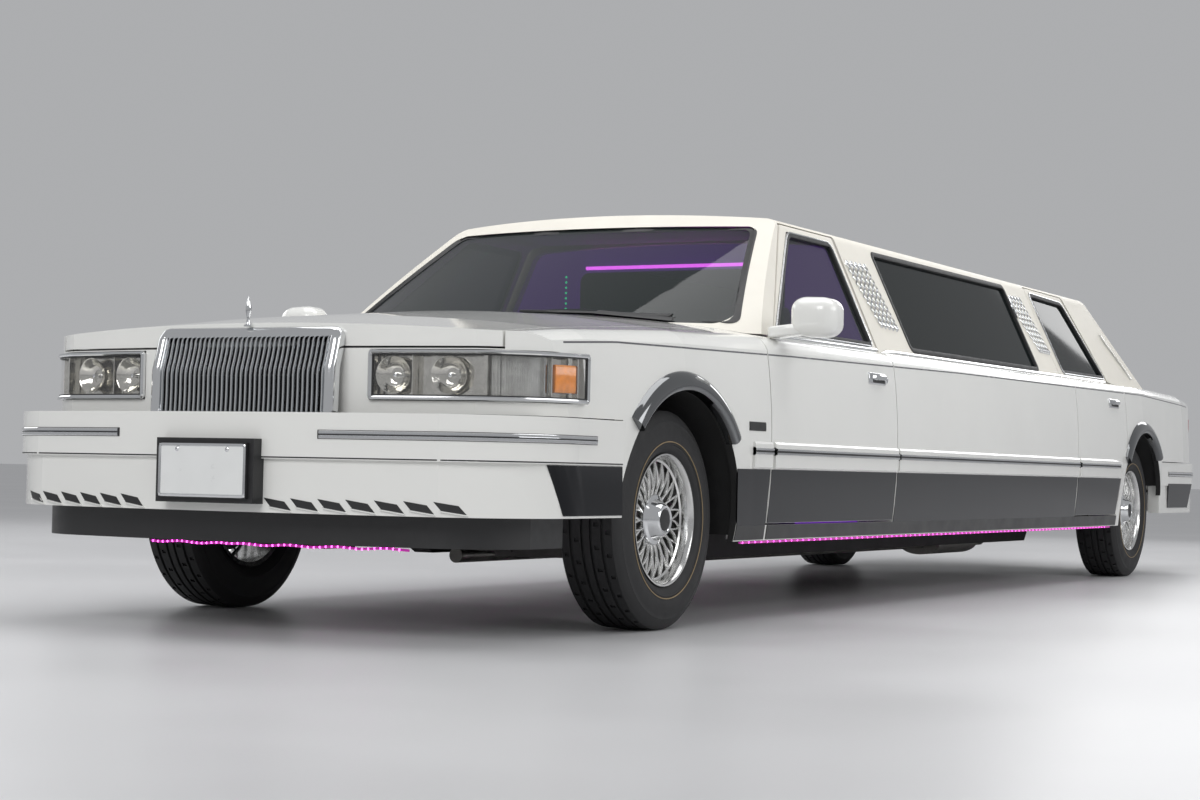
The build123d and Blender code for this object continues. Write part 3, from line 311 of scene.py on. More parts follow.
def surface_of(*names):
    """Search tree of the named CAD nodes' faces, for laying trim on them; made once and kept."""
    if names not in surfaces:
        corners, faces = [], []
        for name in names:
            shift = len(corners)
            corners += [vertex.co.copy() for vertex in nodes[name].data.vertices]
            faces += [[shift + n for n in face.vertices] for face in nodes[name].data.polygons]
        surfaces[names] = BVHTree.FromPolygons(corners, faces)
    return surfaces[names]


def shaped(piece, rule):
    """Moves each point of a piece to where the rule sends its x, y and z."""
    for vertex in piece.data.vertices:
        vertex.co = rule(*vertex.co)
    return piece


def done(piece, name, material, body="root", angle=35):
    """Names a shaped piece, turns its faces outwards, smooths it and hangs it on its body."""
    piece.name = name
    only(piece)
    bpy.ops.object.transform_apply(location=True, rotation=True, scale=True)
    edit()
    bpy.ops.mesh.remove_doubles(threshold=0.00001)
    bpy.ops.mesh.normals_make_consistent(inside=False)
    close_edit()
    bpy.ops.object.shade_smooth_by_angle(angle=math.radians(angle))
    coat(piece, material)
    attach(piece, body)
    return piece


def touch(surface, ray, reach=1.6, near=0.7):
    """Where a ray with its shift meets a surface, or the place nearest to it, and the way in."""
    start, inward, shift = ray
    hit = surface.ray_cast(start, inward, reach)[0] or surface.find_nearest(start + inward * near)[0]
    return hit + shift, inward


def lay(section, run, cuts, surface, line, bend=None, reach=1.6, near=0.7):
    """Strip of a section laid on a surface, where line(t, height) gives each point's ray and shift."""
    bar = strip(section, *run, cuts)
    if bend:
        shaped(bar, bend)

    def place(t, proud, height):
        hit, inward = touch(surface, line(t, height), reach, near)
        return hit - inward * proud
    return shaped(bar, place)


def laid(name, material, *strip_and_line, body="root", angle=35, **settings):
    """As lay, and finished as a piece."""
    return done(lay(*strip_and_line, **settings), name, material, body, angle)


def between(points, t, height):
    """Place on a broken line of flat points, with t counting its corners, height to its left."""
    n = min(int(t), len(points) - 2)
    start, end = Vector(points[n]), Vector(points[n + 1])
    along = (end - start).normalized()
    return start.lerp(end, t - n) + Vector((-along.y, along.x)) * height


def over_roof(points):
    """Line over the roof through points of (X, Y), looked at from above."""
    return lambda t, height: (between(points, t, height).to_3d() + Vector((0, 0, 2.0)), Vector((0, 0, -1)),
                              Vector())


roof_surface = surface_of("roof")
header_x, eave_x, eave_y, tail_x = front(-1585), front(-1900), 0.635, rear(480)
for name, points in (
    ("header", [(header_x, -0.60), (front(-1560), 0.0), (header_x, 0.60)]),
    ("left", [(header_x, 0.60), (eave_x, eave_y), (tail_x, eave_y)]),
    ("right", [(header_x, -0.60), (eave_x, -eave_y), (tail_x, -eave_y)]),
    ("rear", [(tail_x, -eave_y), (rear(455), 0.0), (tail_x, eave_y)]),
):
    laid(f"roof_seam_{name}", cream_vinyl, low_bead(0.007, 0.0022), (0, 2), 40, roof_surface,
         over_roof(points))

# Window glass: laminated screen and dark side panes in black rubber, and see-through door panes.
# Thin panes carried over from the CAD; the rings are moulded seals with bright front door trim.
dark_glass = finish_of("privacy_glass", "tinted_glass", (0.006, 0.009, 0.009), 0.03, mottle=0.02,
                       rough_spread=0.01, Alpha=0.95, Specular_IOR_Level=0.2, IOR=1.3)
screen_glass = finish_of("screen_glass", "tinted_glass", (0.02, 0.026, 0.026), 0.02, mottle=0.02,
                         rough_spread=0.008, Alpha=0.66, Specular_IOR_Level=0.4, IOR=1.4)
window_rubber = finish_of("window_rubber", "black_plastic", (0.015, 0.015, 0.016), 0.5, mottle=0.1,
                          mottle_scale=40, bumps=(("Noise", 400, 0.1, 0.0003),))
chrome = finish_of("chrome_plate", "chrome_trim", (0.72, 0.73, 0.74), 0.08, metallic=1.0, mottle=0.03,
                   rough_spread=0.03)
dress(dark_glass, "fixed_glass", "rear_glass_left", "rear_glass_right")
dress(screen_glass, "front_glass_left", "front_glass_right")
paint_where("fixed_glass", screen_glass, lambda at: at.x > front(-1600))


def modify(kind, **settings):
    """Adds a modifier to the active piece and applies it."""
    modifier = bpy.context.object.modifiers.new(kind.lower(), kind)
    for key, value in settings.items():
        setattr(modifier, key, value)
    bpy.ops.object.modifier_apply(modifier=modifier.name)


def window_y(z):
    """Half width of the car at height z of its leaning windows."""
    return 0.890 - 0.443 * (z - 0.968)


def window_ring(corners, side, wide, proud, grow=0.0, corner_radius=0.034, sunk=0.012):
    """Flat ring that frames a side window, from its corners as (X, Z), on the leaning window plane."""
    ring = outline_piece([(x, 0, z) for x, z in corners])
    bpy.ops.mesh.bevel(offset=corner_radius, segments=6, affect="VERTICES")
    bpy.ops.mesh.select_all(action="SELECT")
    if grow:
        bpy.ops.mesh.inset(thickness=grow, use_outset=True)
        bpy.ops.mesh.select_all(action="SELECT")
        bpy.ops.mesh.dissolve_faces()
        bpy.ops.mesh.select_all(action="SELECT")
    bpy.ops.mesh.inset(thickness=wide)
    bpy.ops.mesh.delete(type="FACE")
    close_edit()
    shaped(ring, lambda x, y, z: (x, side * window_y(z), z))
    edit()
    bpy.ops.mesh.normals_make_consistent(inside=False)
    shape = bmesh.from_edit_mesh(ring.data)
    if sum(face.normal.y for face in shape.faces) * side < 0:
        bpy.ops.mesh.flip_normals()
    close_edit()
    modify("SOLIDIFY", thickness=proud + sunk, offset=(proud - sunk) / (proud + sunk))
    modify("BEVEL", width=proud * 0.4, segments=2, limit_method="ANGLE", angle_limit=math.radians(60))
    return ring


body_of = {node: body for body, members in frame["record"]["behaviour"]["bodies"].items() for node in members}
for place, corners in (
    ("front", [(front(-868), 0.992), (front(-1822), 0.992), (front(-1800), 1.402), (front(-1372), 1.402)]),
    ("centre", [(front(-2250), 0.996), (rear(1530), 1.004), (rear(1560), 1.412), (front(-2225), 1.408)]),
    ("rear", [(rear(1145), 1.010), (rear(395), 1.014), (rear(640), 1.398), (rear(1180), 1.408)]),
):
    for side_name, side in sides:
        body = body_of.get(f"{place}_door_{side_name}", "root")
        done(window_ring(corners, side, 0.020, 0.003), f"{place}_window_seal_{side_name}", window_rubber, body)
        if place != "centre":
            bright = window_ring(corners, side, 0.006, 0.005, grow=0.006)
            done(bright, f"{place}_window_trim_{side_name}", chrome, body)


def trapezium(half_low, low, half_high, high):
    """Corners of (Y, Z) of a shape that is the same on both sides of the car's middle."""
    return [(-half_low, low), (half_low, low), (half_high, high), (-half_high, high)]


def rounded(corners, radius, steps=5):
    """Outline through the corners, with each one rounded by a few points."""
    outline = []
    for n, corner in enumerate(corners):
        here = Vector(corner)
        back = (Vector(corners[n - 1]) - here).normalized() * radius
        on = (Vector(corners[(n + 1) % len(corners)]) - here).normalized() * radius
        for k in range(steps + 1):
            s = k / steps
            outline.append((here + back) * (1 - s) ** 2 + here * 2 * s * (1 - s) + (here + on) * s ** 2)
    return outline


def across_seal(name, outline, ahead, further_in=(0.070, 0.140), largest_step=0.016):
    """Seal on the screen (ahead 1) or the backlight (ahead -1); a ray that slips through a gap at the edge
    is put in line with two further in."""
    surface, inward = surface_of("roof", "fixed_glass"), Vector((-ahead, 0, 0))
    middle = sum(outline, Vector((0, 0))) / len(outline)

    def start_of(t, height):
        here = outline[int(t) % len(outline)].lerp(outline[(int(t) + 1) % len(outline)], t - int(t))
        place = here + (here - middle).normalized() * height
        return Vector((rear_axle_x + ahead * 8, place.x, place.y))

    def place(t, proud, height):
        start = start_of(t, height)
        hit = surface.ray_cast(start, inward)[0]
        nearer, farther = [surface.ray_cast(start_of(t, height - back), inward)[0].x for back in further_in]
        in_line = 2 * nearer - farther
        if hit is None or abs(hit.x - in_line) > largest_step:
            hit = Vector((in_line, start.y, start.z))
        return hit - inward * proud
    seal = strip(low_bead(0.026, 0.006, 0.008), 0, len(outline), len(outline) * 3 - 1)
    done(shaped(seal, place), name, window_rubber)


screen_low, screen_high, screen_inset = 1.016, 1.400, 0.068
across_seal("screen_seal", rounded(trapezium(window_y(screen_low) - screen_inset, screen_low,
                                             window_y(screen_high) - screen_inset, screen_high), 0.03), 1)
across_seal("backlight_seal", rounded(trapezium(0.500, 1.086, 0.430, 1.372), 0.06), -1)

# Screen wipers: two satin black arms from the cowl with rubber blades that lie on the glass.
# Each arm is a flat pressing; the blade below it is a thin rubber on a folded carrier.
satin_black = finish_of("satin_black_plastic", "black_plastic", (0.018, 0.018, 0.019), 0.45, mottle=0.12,
                        mottle_scale=30, bumps=(("Noise", 700, 0.15, 0.0004),))
screen_surface = surface_of("fixed_glass", "roof", "floor")


def screen_line(foot, tip):
    """Line over the screen between two points of (Y, Z)."""
    def line(t, height):
        place = between((foot, tip), t, height)
        return Vector((front(-500), place.x, place.y)), Vector((-1, 0, 0)), Vector()
    return line


for name, foot, tip, pivot, joint in (
    ("left", (0.60, 1.038), (0.07, 1.052), (0.62, 1.022), (0.36, 1.046)),
    ("right", (-0.02, 1.038), (-0.55, 1.052), (0.00, 1.022), (-0.26, 1.046)),
):
    laid(f"wiper_blade_{name}", satin_black, low_bead(0.010, 0.014, 0.0), (0, 1), 16, screen_surface,
         screen_line(foot, tip), reach=3, near=4)
    laid(f"wiper_arm_{name}", satin_black, ((-0.008, 0.016), (-0.006, 0.022), (0.006, 0.022), (0.008, 0.016)),
         (0, 1), 10, screen_surface, screen_line(pivot, joint), reach=3, near=4)

# Grille: chrome-plated rounded shell round 35 upright bars that lean back with it, on a black backing that
# stands in for the radiator and paints the shade behind the bars.
# Pressed and plated pieces; the ornament on top is a plain turned spire on a screwed foot.
grille_face = ((0.616, 1035), (0.770, 1030), (0.862, 1004), (0.900, 987.5))
bar_count, bar_spacing = 35, 0.01700


def grille_front(z):
    """X of the grille's leaning face at height z."""
    for (z0, u0), (z1, u1) in zip(grille_face, grille_face[1:]):
        if z <= z1 or z1 == grille_face[-1][0]:
            share = max(0.0, (z - z0) / (z1 - z0))
            return front(u0 + (u1 - u0) * share - 2.5 * math.sin(math.pi * min(1, share)))


def flat_bar(low, high, proud=0.003, sunk=-0.002):
    """Section with square edges from low to high."""
    return (low, sunk), (low, proud), (high, proud), (high, sunk)


def framed(outline, section, cuts, place):
    """Closed frame of one section along an outline of (Y, Z); place(Y, Z, proud) gives the point."""
    count = len(outline)
    bar = strip(section, 0, count, count * cuts - 1)
    edit()
    pick("FACE", lambda face: reach_x(face) < 1e-6)
    bpy.ops.mesh.delete(type="FACE")
    close_edit()
    outwards = []
    for n in range(count):
        along = (outline[(n + 1) % count] - outline[n - 1]).normalized()
        outwards.append(Vector((along.y, -along.x)))

    def around(t, proud, height):
        n, share = int(t + 1e-6) % count, t - int(t + 1e-6)
        outward = outwards[n].lerp(outwards[(n + 1) % count], share).normalized()
        here = outline[n].lerp(outline[(n + 1) % count], share) + outward * height
        return place(here.x, here.y, proud)
    return shaped(bar, around)


def on_grille(y, z, proud):
    """Point that far proud of the grille's face."""
    return grille_front(z) + proud, y, z


def copy_of(piece):
    """Copy of a piece with a mesh of its own."""
    other = piece.copy()
    other.data = piece.data.copy()
    bpy.context.collection.objects.link(other)
    return other


def joined(pieces):
    """The pieces as one."""
    only(*pieces)
    bpy.ops.object.join()
    return pieces[0]


def turned(profile, steps, centre=(0, 0, 0), axis=(0, 1, 0)):
    """Piece turned on a lathe: a closed profile of (along the axis, radius) points spun about it."""
    blank = outline_piece([(along, radius, 0) for along, radius in profile], "NOTHING")
    bpy.ops.mesh.spin(steps=steps, angle=math.radians(360), center=(0, 0, 0), axis=(1, 0, 0))
    bpy.ops.mesh.select_all(action="SELECT")
    bpy.ops.mesh.remove_doubles(threshold=0.00002)
    bpy.ops.mesh.dissolve_degenerate(threshold=0.00002)
    bpy.ops.mesh.select_all(action="SELECT")
    bpy.ops.mesh.normals_make_consistent(inside=False)
    close_edit()
    turn = Vector((1, 0, 0)).rotation_difference(Vector(axis)).to_matrix().to_4x4()
    blank.data.transform(Matrix.Translation(centre) @ turn)
    return blank


shell_section = ((0.0, -0.040), (0.0025, -0.014), (-0.001, -0.005), (-0.009, 0.0), (-0.019, 0.001),
                 (-0.027, -0.002), (-0.031, -0.009), (-0.032, -0.040))
shell = framed(rounded(trapezium(0.327, 0.619, 0.327, 0.8975), 0.034, 6), shell_section, 4, on_grille)
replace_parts(done(shell, "grille_shell", chrome, angle=50), "grille")
bar = strip(((-0.0034, -0.030), (-0.0034, -0.007), (-0.0016, -0.003), (0.0016, -0.003), (0.0034, -0.007),
             (0.0034, -0.030)), 0.636, 0.876, 11)
shaped(bar, lambda z, proud, y: (grille_front(z) - 0.004 + proud, y, z))
bars = [bar] + [copy_of(bar) for n in range(1, bar_count)]
for n, other in enumerate(bars):
    other.data.transform(Matrix.Translation((0, (n - bar_count // 2) * bar_spacing, 0)))
done(joined(bars), "grille_bars", chrome, angle=40)
# Dark band behind the bars: it stands in for the radiator and is painted shade seen through the grille.
shade_backing = framed(rounded(trapezium(0.30, 0.640, 0.30, 0.874), 0.02, 3),
                 flat_bar(0.006, -0.116, -0.032, -0.034), 2, on_grille)
done(shade_backing, "grille_shade_backing", satin_black)
spire = turned(((0.0, 0.0), (0.0, 0.013), (0.004, 0.013), (0.007, 0.007), (0.020, 0.0045), (0.030, 0.005),
                (0.045, 0.0085), (0.058, 0.0085), (0.072, 0.0055), (0.084, 0.003), (0.090, 0.0)),
               24, (front(991), 0, 0.9005), (0, 0, 1))
done(spire, "grille_ornament", chrome)

# Front bumper trim: two bright rub strips, the joint groove, slotted lip and polished corner panels, their
# near-black colour a painted reflection.
# Rolled stainless on the white moulded cover, laid along its wrapped face.
# Polished stainless: its near-black colour is a painted reflection of the dark floor, not the metal's own
# colour.
stainless_painted_reflection = finish_of("stainless_painted_dark_reflection", "chrome_trim", (0.050, 0.051, 0.055), 0.12, metallic=1.0,
                           mottle=0.06, mottle_scale=1.2, rough_spread=0.05)
bumper_surface = surface_of("bumpers")


def plan_points(points, far_x):
    """Smooth plan line from the middle of a bumper round its corner to far_x, as (X, Y)."""
    line = [Vector(p) for p in points] + [Vector((far_x, points[-1][1]))]
    for _ in range(3):
        cut = [line[0]]
        for a, b in zip(line, line[1:]):
            cut += [a.lerp(b, 0.25), a.lerp(b, 0.75)]
        line = cut + [line[-1]]
    return line


def plan_line(points, z, side):
    """Line round a bumper or lamp at height z; t is metres from the car's middle, towards side."""
    lengths = [0.0]
    for a, b in zip(points, points[1:]):
        lengths.append(lengths[-1] + (b - a).length)

    def line(t, height):
        n = max(k for k in range(len(points) - 1) if lengths[k] <= max(t, 0))
        along = (points[n + 1] - points[n]).normalized()
        here = points[n] + along * (max(t, 0) - lengths[n])
        before = (points[n] - points[n - 1]).normalized() if n else Vector((0, 1))
        share = min(1, (t - lengths[n]) / max(1e-6, lengths[n + 1] - lengths[n]))
        along = before.lerp(along, share).normalized()
        facing = 1 if points[0].x > 0 else -1
        inward = Vector((-along.y * facing, side * along.x * facing, 0))
        return Vector((here.x, side * here.y, z + height)) - inward * 0.25, inward, Vector()
    return line


def bumper_trim(end, plan, corner_plan, rub_z, rub_run, bed_run, corner_name, corner_half, corner_run,
                corner_z):
    """Rub strips on a black bed and the polished corner panel, painted dark as a reflection, with its slanted
    edge, on both sides.
    """
    near, far = corner_run

    def slant(t, proud, height):
        share = (corner_half - height) / (2 * corner_half)
        return t + 0.07 * share * (far - t) / (far - near), proud, height
    for side_name, side in sides:
        for n, z in enumerate((rub_z - 0.0065, rub_z + 0.0065)):
            laid(f"{end}_rub_strip_{n}_{side_name}", chrome, low_bead(0.010, 0.005), rub_run, 60,
                 bumper_surface, plan_line(plan, z, side))
        laid(f"{end}_rub_bed_{side_name}", satin_black, low_bead(0.026, 0.0022), bed_run, 60, bumper_surface,
             plan_line(plan, rub_z, side))
        laid(f"{corner_name}_{side_name}", stainless_painted_reflection, flat_bar(-corner_half, corner_half), corner_run, 40,
             bumper_surface, plan_line(corner_plan, corner_z, side), bend=slant)


joint_height, lip_height, slot_spacing = 0.5165, 0.383, 0.088
upper_bumper = plan_points([(front(1150), 0), (front(1072), 0.720), (front(965), 0.878), (front(700), 0.962)],
                           front(430))
lower_bumper = plan_points([(front(1138), 0), (front(1060), 0.712), (front(953), 0.870), (front(688), 0.954)],
                           front(430))
bumper_trim("front", upper_bumper, lower_bumper, 0.583, (0.36, 1.28), (0.355, 1.285), "bumper_corner", 0.072,
            (1.02, 1.46), 0.437)
for side_name, side, joint_start, first_slot in (("left", 1, 0.0, 2), ("right", -1, 0.0001, 3)):
    laid(f"bumper_joint_{side_name}", satin_black, low_bead(0.004, 0.0006), (joint_start, 1.45), 60,
         bumper_surface, plan_line(upper_bumper, joint_height, side))
    for n in range(first_slot, 9):
        middle = 0.045 + slot_spacing * n
        for name, material, section, start, drop in (
            ("lip_slot", satin_black, flat_bar(-0.0125, 0.0125, 0.0012), -0.030, 0.0),
            ("lip_slat", white_paint, low_bead(0.005, 0.007), -0.034, -0.0145),
        ):
            def slant(t, proud, height):
                height += drop - 0.17 * side * (t - middle)
                return t - 0.9 * side * height, proud, height
            laid(f"{name}_{n}_{side_name}", material, section, (middle + start, middle + 0.030), 2,
                 bumper_surface, plan_line(lower_bumper, lip_height, side), bend=slant)

# Front plate: a blank pale plate in a bright frame on the black bracket under the grille.
# Enamelled sheet with a rolled edge, held by two domed screws.
plate_enamel = finish_of("plate_enamel", "white_paint", (0.78, 0.79, 0.78), 0.32, mottle=0.02, mottle_scale=12)
dress(satin_black, "front_plate")


def block(offset, segments, applied=False, rule=None, **settings):
    """Cube with its edges rounded, all or those of a rule, in its own units or, applied, in metres."""
    piece = begin("cube", size=1, **settings)
    if applied:
        bpy.ops.object.transform_apply(location=True, rotation=True, scale=True)
    edit()
    if rule:
        pick("EDGE", rule)
    bpy.ops.mesh.bevel(offset=offset, segments=segments)
    close_edit()
    return piece


def blank_plate(name, x, z, ahead, body, wide=0.308, high=0.152):
    """Blank number plate facing ahead (1) or back (-1), with a raised bright frame and two screws."""
    done(block(0.0008, 1, True, location=(x, 0, z), scale=(0.002, wide, high)), name, plate_enamel, body)
    rim = framed(rounded(trapezium(wide / 2, z - high / 2, wide / 2, z + high / 2), 0.012, 4),
                 ((0.001, -0.002), (0.001, 0.002), (-0.002, 0.0036), (-0.006, 0.0036), (-0.008, 0.0008),
                  (-0.008, -0.002)), 3, lambda y, at, proud: (x + ahead * proud, y, at))
    done(rim, name + "_frame", chrome, body)
    for n, y in enumerate((-0.089, 0.089)):
        screw = turned(((0, 0), (0, 0.007), (0.002, 0.0066), (0.0036, 0.004), (0.0042, 0)), 16,
                       (x + ahead * 0.0005, y, z + high / 2 - 0.016), (ahead, 0, 0))
        done(screw, f"{name}_screw_{n}", chrome, body)


blank_plate("front_number_plate", front(1194.5), 0.475, 1, "root")

# Headlamps: wrapped clear units with a bright shell, two bowls, a ribbed turn lamp and an amber end.
# Plated reflectors sit behind a thin moulded lens, in a chrome bezel that follows the wing.
lamp_reflector = finish_of("lamp_reflector", "chrome_trim", (0.66, 0.645, 0.60), 0.10, metallic=0.95,
                           mottle=0.12, mottle_scale=26, bumps=(("Voronoi", 70, 0.15, 0.0015),))
ribbed_reflector = finish_of("ribbed_reflector", "clear_glass", (0.66, 0.66, 0.64), 0.2, metallic=0.75,
                             mottle=0.1, mottle_scale=20, bumps=(("Wave", 60, 0.8, 0.003),),
                             stretch=(1, 2.2, 0.1))
clear_lens = finish_of("clear_lens", "clear_glass", (0.5, 0.5, 0.5), 0.03, mottle=0.02, rough_spread=0.01,
                       Alpha=0.07, Specular_IOR_Level=0.8)
amber_lens = finish_of("amber_lens", "clear_glass", (0.90, 0.27, 0.004), 0.16, mottle=0.15, mottle_scale=60,
                       bumps=(("Voronoi", 180, 0.3, 0.001),), Coat_Weight=0.8)
lamp_surface = surface_of("headlamps")
lamp_plan = plan_points([(front(983), 0), (front(913), 0.735), (front(814), 0.866), (front(612), 0.946)],
                        front(612))
lamp_start = 0.4135
lamp_end = sum((b - a).length for a, b in zip(lamp_plan, lamp_plan[1:])) - 0.003
lamp_height, lamp_low, lamp_high = 0.760, 0.686, 0.834
turn_start, turn_end, turn_cuts = 0.772, 0.956, 47


def stepped(outline, step):
    """The same closed outline with points added so that none are further apart than step."""
    points = []
    for here, on in zip(outline, outline[1:] + outline[:1]):
        pieces = max(1, math.ceil((on - here).length / step))
        points += [here.lerp(on, k / pieces) for k in range(pieces)]
    return points


for side_name, side in sides:
    def in_lamp(name, material, section, t0, t1, cuts, z=lamp_height, bend=None):
        return laid(f"{name}_{side_name}", material, section, (t0, t1), cuts, lamp_surface,
                    plan_line(lamp_plan, z, side), bend=bend)

    def ribs(t, proud, height):
        step = round((t - turn_start) / (turn_end - turn_start) * (turn_cuts + 1))
        return t, proud + 0.0035 * (step % 2), height

    def on_lamp(t, z, proud):
        hit, inward = touch(lamp_surface, plan_line(lamp_plan, z, side)(t, 0), near=0.25)
        return hit - inward * proud
    shell = in_lamp("lamp_shell", lamp_reflector, flat_bar(-0.060, 0.060, -0.044, -0.052), lamp_start + 0.012,
                    lamp_end - 0.030, 50)
    if side > 0:
        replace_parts(shell, "headlamps")
    for n, z in enumerate((0.6965, 0.8235)):
        in_lamp(f"lamp_wall_{n}", lamp_reflector, flat_bar(-0.003, 0.003, -0.002, -0.048), lamp_start,
                lamp_end - 0.01, 50, z)
    for n, (t, wide, deep) in enumerate(((0.4175, 0.006, 0.048), (0.545, 0.003, 0.040), (0.765, 0.010, 0.046),
                                         (0.958, 0.004, 0.030), (1.056, 0.006, 0.030))):
        in_lamp(f"lamp_divider_{n}", lamp_reflector, flat_bar(-0.060, 0.060, -0.006, -deep), t - wide / 2,
                t + wide / 2, 1)
    in_lamp("turn_lamp", ribbed_reflector, flat_bar(-0.058, 0.058, -0.036, -0.043), turn_start, turn_end,
            turn_cuts, bend=ribs)
    in_lamp("side_marker", amber_lens, ((-0.040, -0.034), (-0.040, -0.009), (-0.034, -0.005), (0.034, -0.005),
                                        (0.040, -0.009), (0.040, -0.034)), 0.970, 1.046, 14, 0.757)
    for n, t in enumerate((0.482, 0.655)):
        seat, inward = touch(lamp_surface, plan_line(lamp_plan, lamp_height, side)(t, 0))
        bowl = turned(((-0.046, 0.0), (-0.044, 0.022), (-0.034, 0.040), (-0.012, 0.052), (-0.010, 0.055),
                       (-0.014, 0.055), (-0.038, 0.042), (-0.049, 0.022), (-0.050, 0.0)), 32, seat, -inward)
        done(bowl, f"lamp_bowl_{n}_{side_name}", lamp_reflector)
        bulb = turned(((-0.044, 0.0), (-0.044, 0.008), (-0.030, 0.008), (-0.022, 0.006), (-0.019, 0.0)), 18,
                      seat, -inward)
        done(bulb, f"lamp_bulb_{n}_{side_name}", chrome)
    in_lamp("lamp_lens", clear_lens, flat_bar(-0.061, 0.061, -0.001, -0.004), lamp_start + 0.004,
            lamp_end - 0.012, 60)
    for name, inset, material, section in (
        ("bezel", 0.0, chrome, ((0.0, -0.006), (0.0, 0.003), (-0.003, 0.006), (-0.009, 0.0065),
                                (-0.013, 0.003), (-0.013, -0.006))),
        ("gasket", 0.013, satin_black, flat_bar(0.0, -0.004, 0.001, -0.006)),
    ):
        t0, t1, low, high = lamp_start - 0.006 + inset, lamp_end - inset, lamp_low + inset, lamp_high - inset
        outline = rounded([(t0, low), (t1, low), (t1, high), (t0, high)], 0.016 - inset / 2, 4)
        done(framed(stepped(outline, 0.02), section, 1, on_lamp), f"lamp_{name}_{side_name}", material)

# Side trim: bright strips in the white moulding, polished lower panels whose near-black colour is a painted
# reflection, and a black rocker.
# Rolled stainless and a sprayed sill, cut at each shut line so that the doors open with theirs.
rocker_black = finish_of("rocker_black", "chassis_black", (0.02, 0.02, 0.021), 0.38, mottle=0.15,
                         mottle_scale=12, bumps=(("Noise", 220, 0.2, 0.0008),))
moulding_section = ((-0.045, -0.002), (-0.045, 0.005), (-0.040, 0.0095), (0.038, 0.0095), (0.045, 0.004),
                    (0.045, -0.002))
panel_height, moulding_height, strip_height, rocker_height = 0.4225, 0.560, 0.573, 0.3005


def from_side(side, x, z, shift=(0, 0, 0)):
    """Ray that looks at the car's side at X and Z."""
    return Vector((x, side * 1.6, z)), Vector((0, -side, 0)), Vector(shift)


def level(value, at):
    """A number, or a function of the place where it changes along the car or up it."""
    return value(at) if callable(value) else value


def side_line(side, x0, x1, z_at, first_z=0.42):
    """Line along one side of the car, from x0 to x1 as t goes from 0 to 1, at height z_at. An end that
    changes with the height, at an arch, is first taken at first_z."""
    def line(t, height):
        z = level(z_at, level(x0, first_z) * (1 - t) + level(x1, first_z) * t) + height
        return from_side(side, level(x0, z) * (1 - t) + level(x1, z) * t, z)
    return line


def behind_front_wheel(z):
    """X of the front arch's rear edge at height z."""
    return front_axle_x - math.sqrt(0.411 ** 2 - min(0.41, abs(z - wheel_height)) ** 2)


def ahead_of_rear_wheel(z):
    """X of the rear door's edge at the rear arch at height z."""
    return rear_axle_x + math.sqrt(0.476 ** 2 - min(0.47, abs(z - wheel_height)) ** 2)


def along_side(name, side_name, node, material, section, x0, x1, z_at, cuts=30, over=()):
    """Strip along one side of a CAD panel, laid on it and riding with it."""
    laid(f"{name}_{side_name}", material, section, (0, 1), cuts, surface_of(node, *over),
         side_line(dict(sides)[side_name], x0, x1, z_at), body=body_of[node])


for side_name, side in sides:
    for label, node, low_start, low_end, high_start, high_end in (
        ("fender", "front_fenders", behind_front_wheel, front(-637), front(-495), front(-638)),
        ("front_door", f"front_door_{side_name}", front(-650), front(-1842), front(-664), front(-1841)),
        ("middle", "body_shell", front(-1855), front(-4296), front(-1858), front(-4295)),
        ("rear_door", f"rear_door_{side_name}", front(-4310), ahead_of_rear_wheel, front(-4325), rear(494)),
    ):
        drop = 0.4215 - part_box(node)[0].z if "door" in label else 0.0978
        # The lower panels' near-black colour is a painted reflection.
        along_side(f"{label}_lower_panel", side_name, node, stainless_painted_reflection, flat_bar(-drop, 0.090), low_start,
                   low_end, panel_height)
        for name, material, section, z in (
            ("moulding", white_paint, moulding_section, moulding_height),
            ("bright_strip_0", chrome, low_bead(0.0105, 0.0145), strip_height - 0.0065),
            ("bright_strip_1", chrome, low_bead(0.0105, 0.0145), strip_height + 0.0065),
            ("strip_bed", satin_black, low_bead(0.028, 0.0118), strip_height),
        ):
            along_side(f"{label}_{name}", side_name, node, material, section, high_start, high_end, z)
    for name, node, start, end, cuts in (
        ("rocker", "body_shell", front(-655), rear(470), 40),
        ("fender_rocker", "front_fenders", behind_front_wheel, front(-637), 12),
    ):
        along_side(name, side_name, node, rocker_black, flat_bar(-0.024, 0.024), start, end, rocker_height,
                   cuts)

# Belt line: a bright strip under the windows and a thin dark coach line along the whole side.
# The strip is rolled stainless on each panel; the line is a painted one a hair proud of the lacquer.
coach_line_paint = finish_of("coach_line_paint", "black_plastic", (0.10, 0.10, 0.11), 0.25, mottle=0.05,
                             Coat_Weight=0.7)
coach_points = ((757, 0.861), (418, 0.881), (-116, 0.890), (-839, 0.905), (-2632, 0.932), (-5511, 0.953),
                (-6667, 0.926))


def belt_height(x):
    """Height of the bright belt strip at X."""
    return 0.977 + 0.030 * (front(-640) - x) / 4.880


def coach_height(x):
    """Height of the coach line at X."""
    u = (x - front_axle_x) * 1000
    for (u0, z0), (u1, z1) in zip(coach_points, coach_points[1:]):
        if u >= u1 or u1 == coach_points[-1][0]:
            return z0 + (z1 - z0) * (u - u0) / (u1 - u0)


for side_name, side in sides:
    for label, node, belt_run, line_run in (
        ("fender", "front_fenders", None, (front(700), front(-638))),
        ("front_door", f"front_door_{side_name}", (front(-850), front(-1842)), (front(-648), front(-1843))),
        ("middle", "body_shell", (front(-1855), front(-4296)), (front(-1854), front(-4297))),
        ("rear_door", f"rear_door_{side_name}", (front(-4310), rear(345)), (front(-4308), rear(345))),
        ("tail", "body_shell", None, (rear(325), rear(-1080))),
    ):
        if belt_run:
            along_side(f"{label}_belt_strip", side_name, node, chrome, low_bead(0.013, 0.005), *belt_run,
                       belt_height, 24, over=("roof",) if node == "body_shell" else ())
        along_side(f"{label}_coach_line", side_name, node, coach_line_paint, low_bead(0.0055, 0.0006, 0.001),
                   *line_run, coach_height, 40)

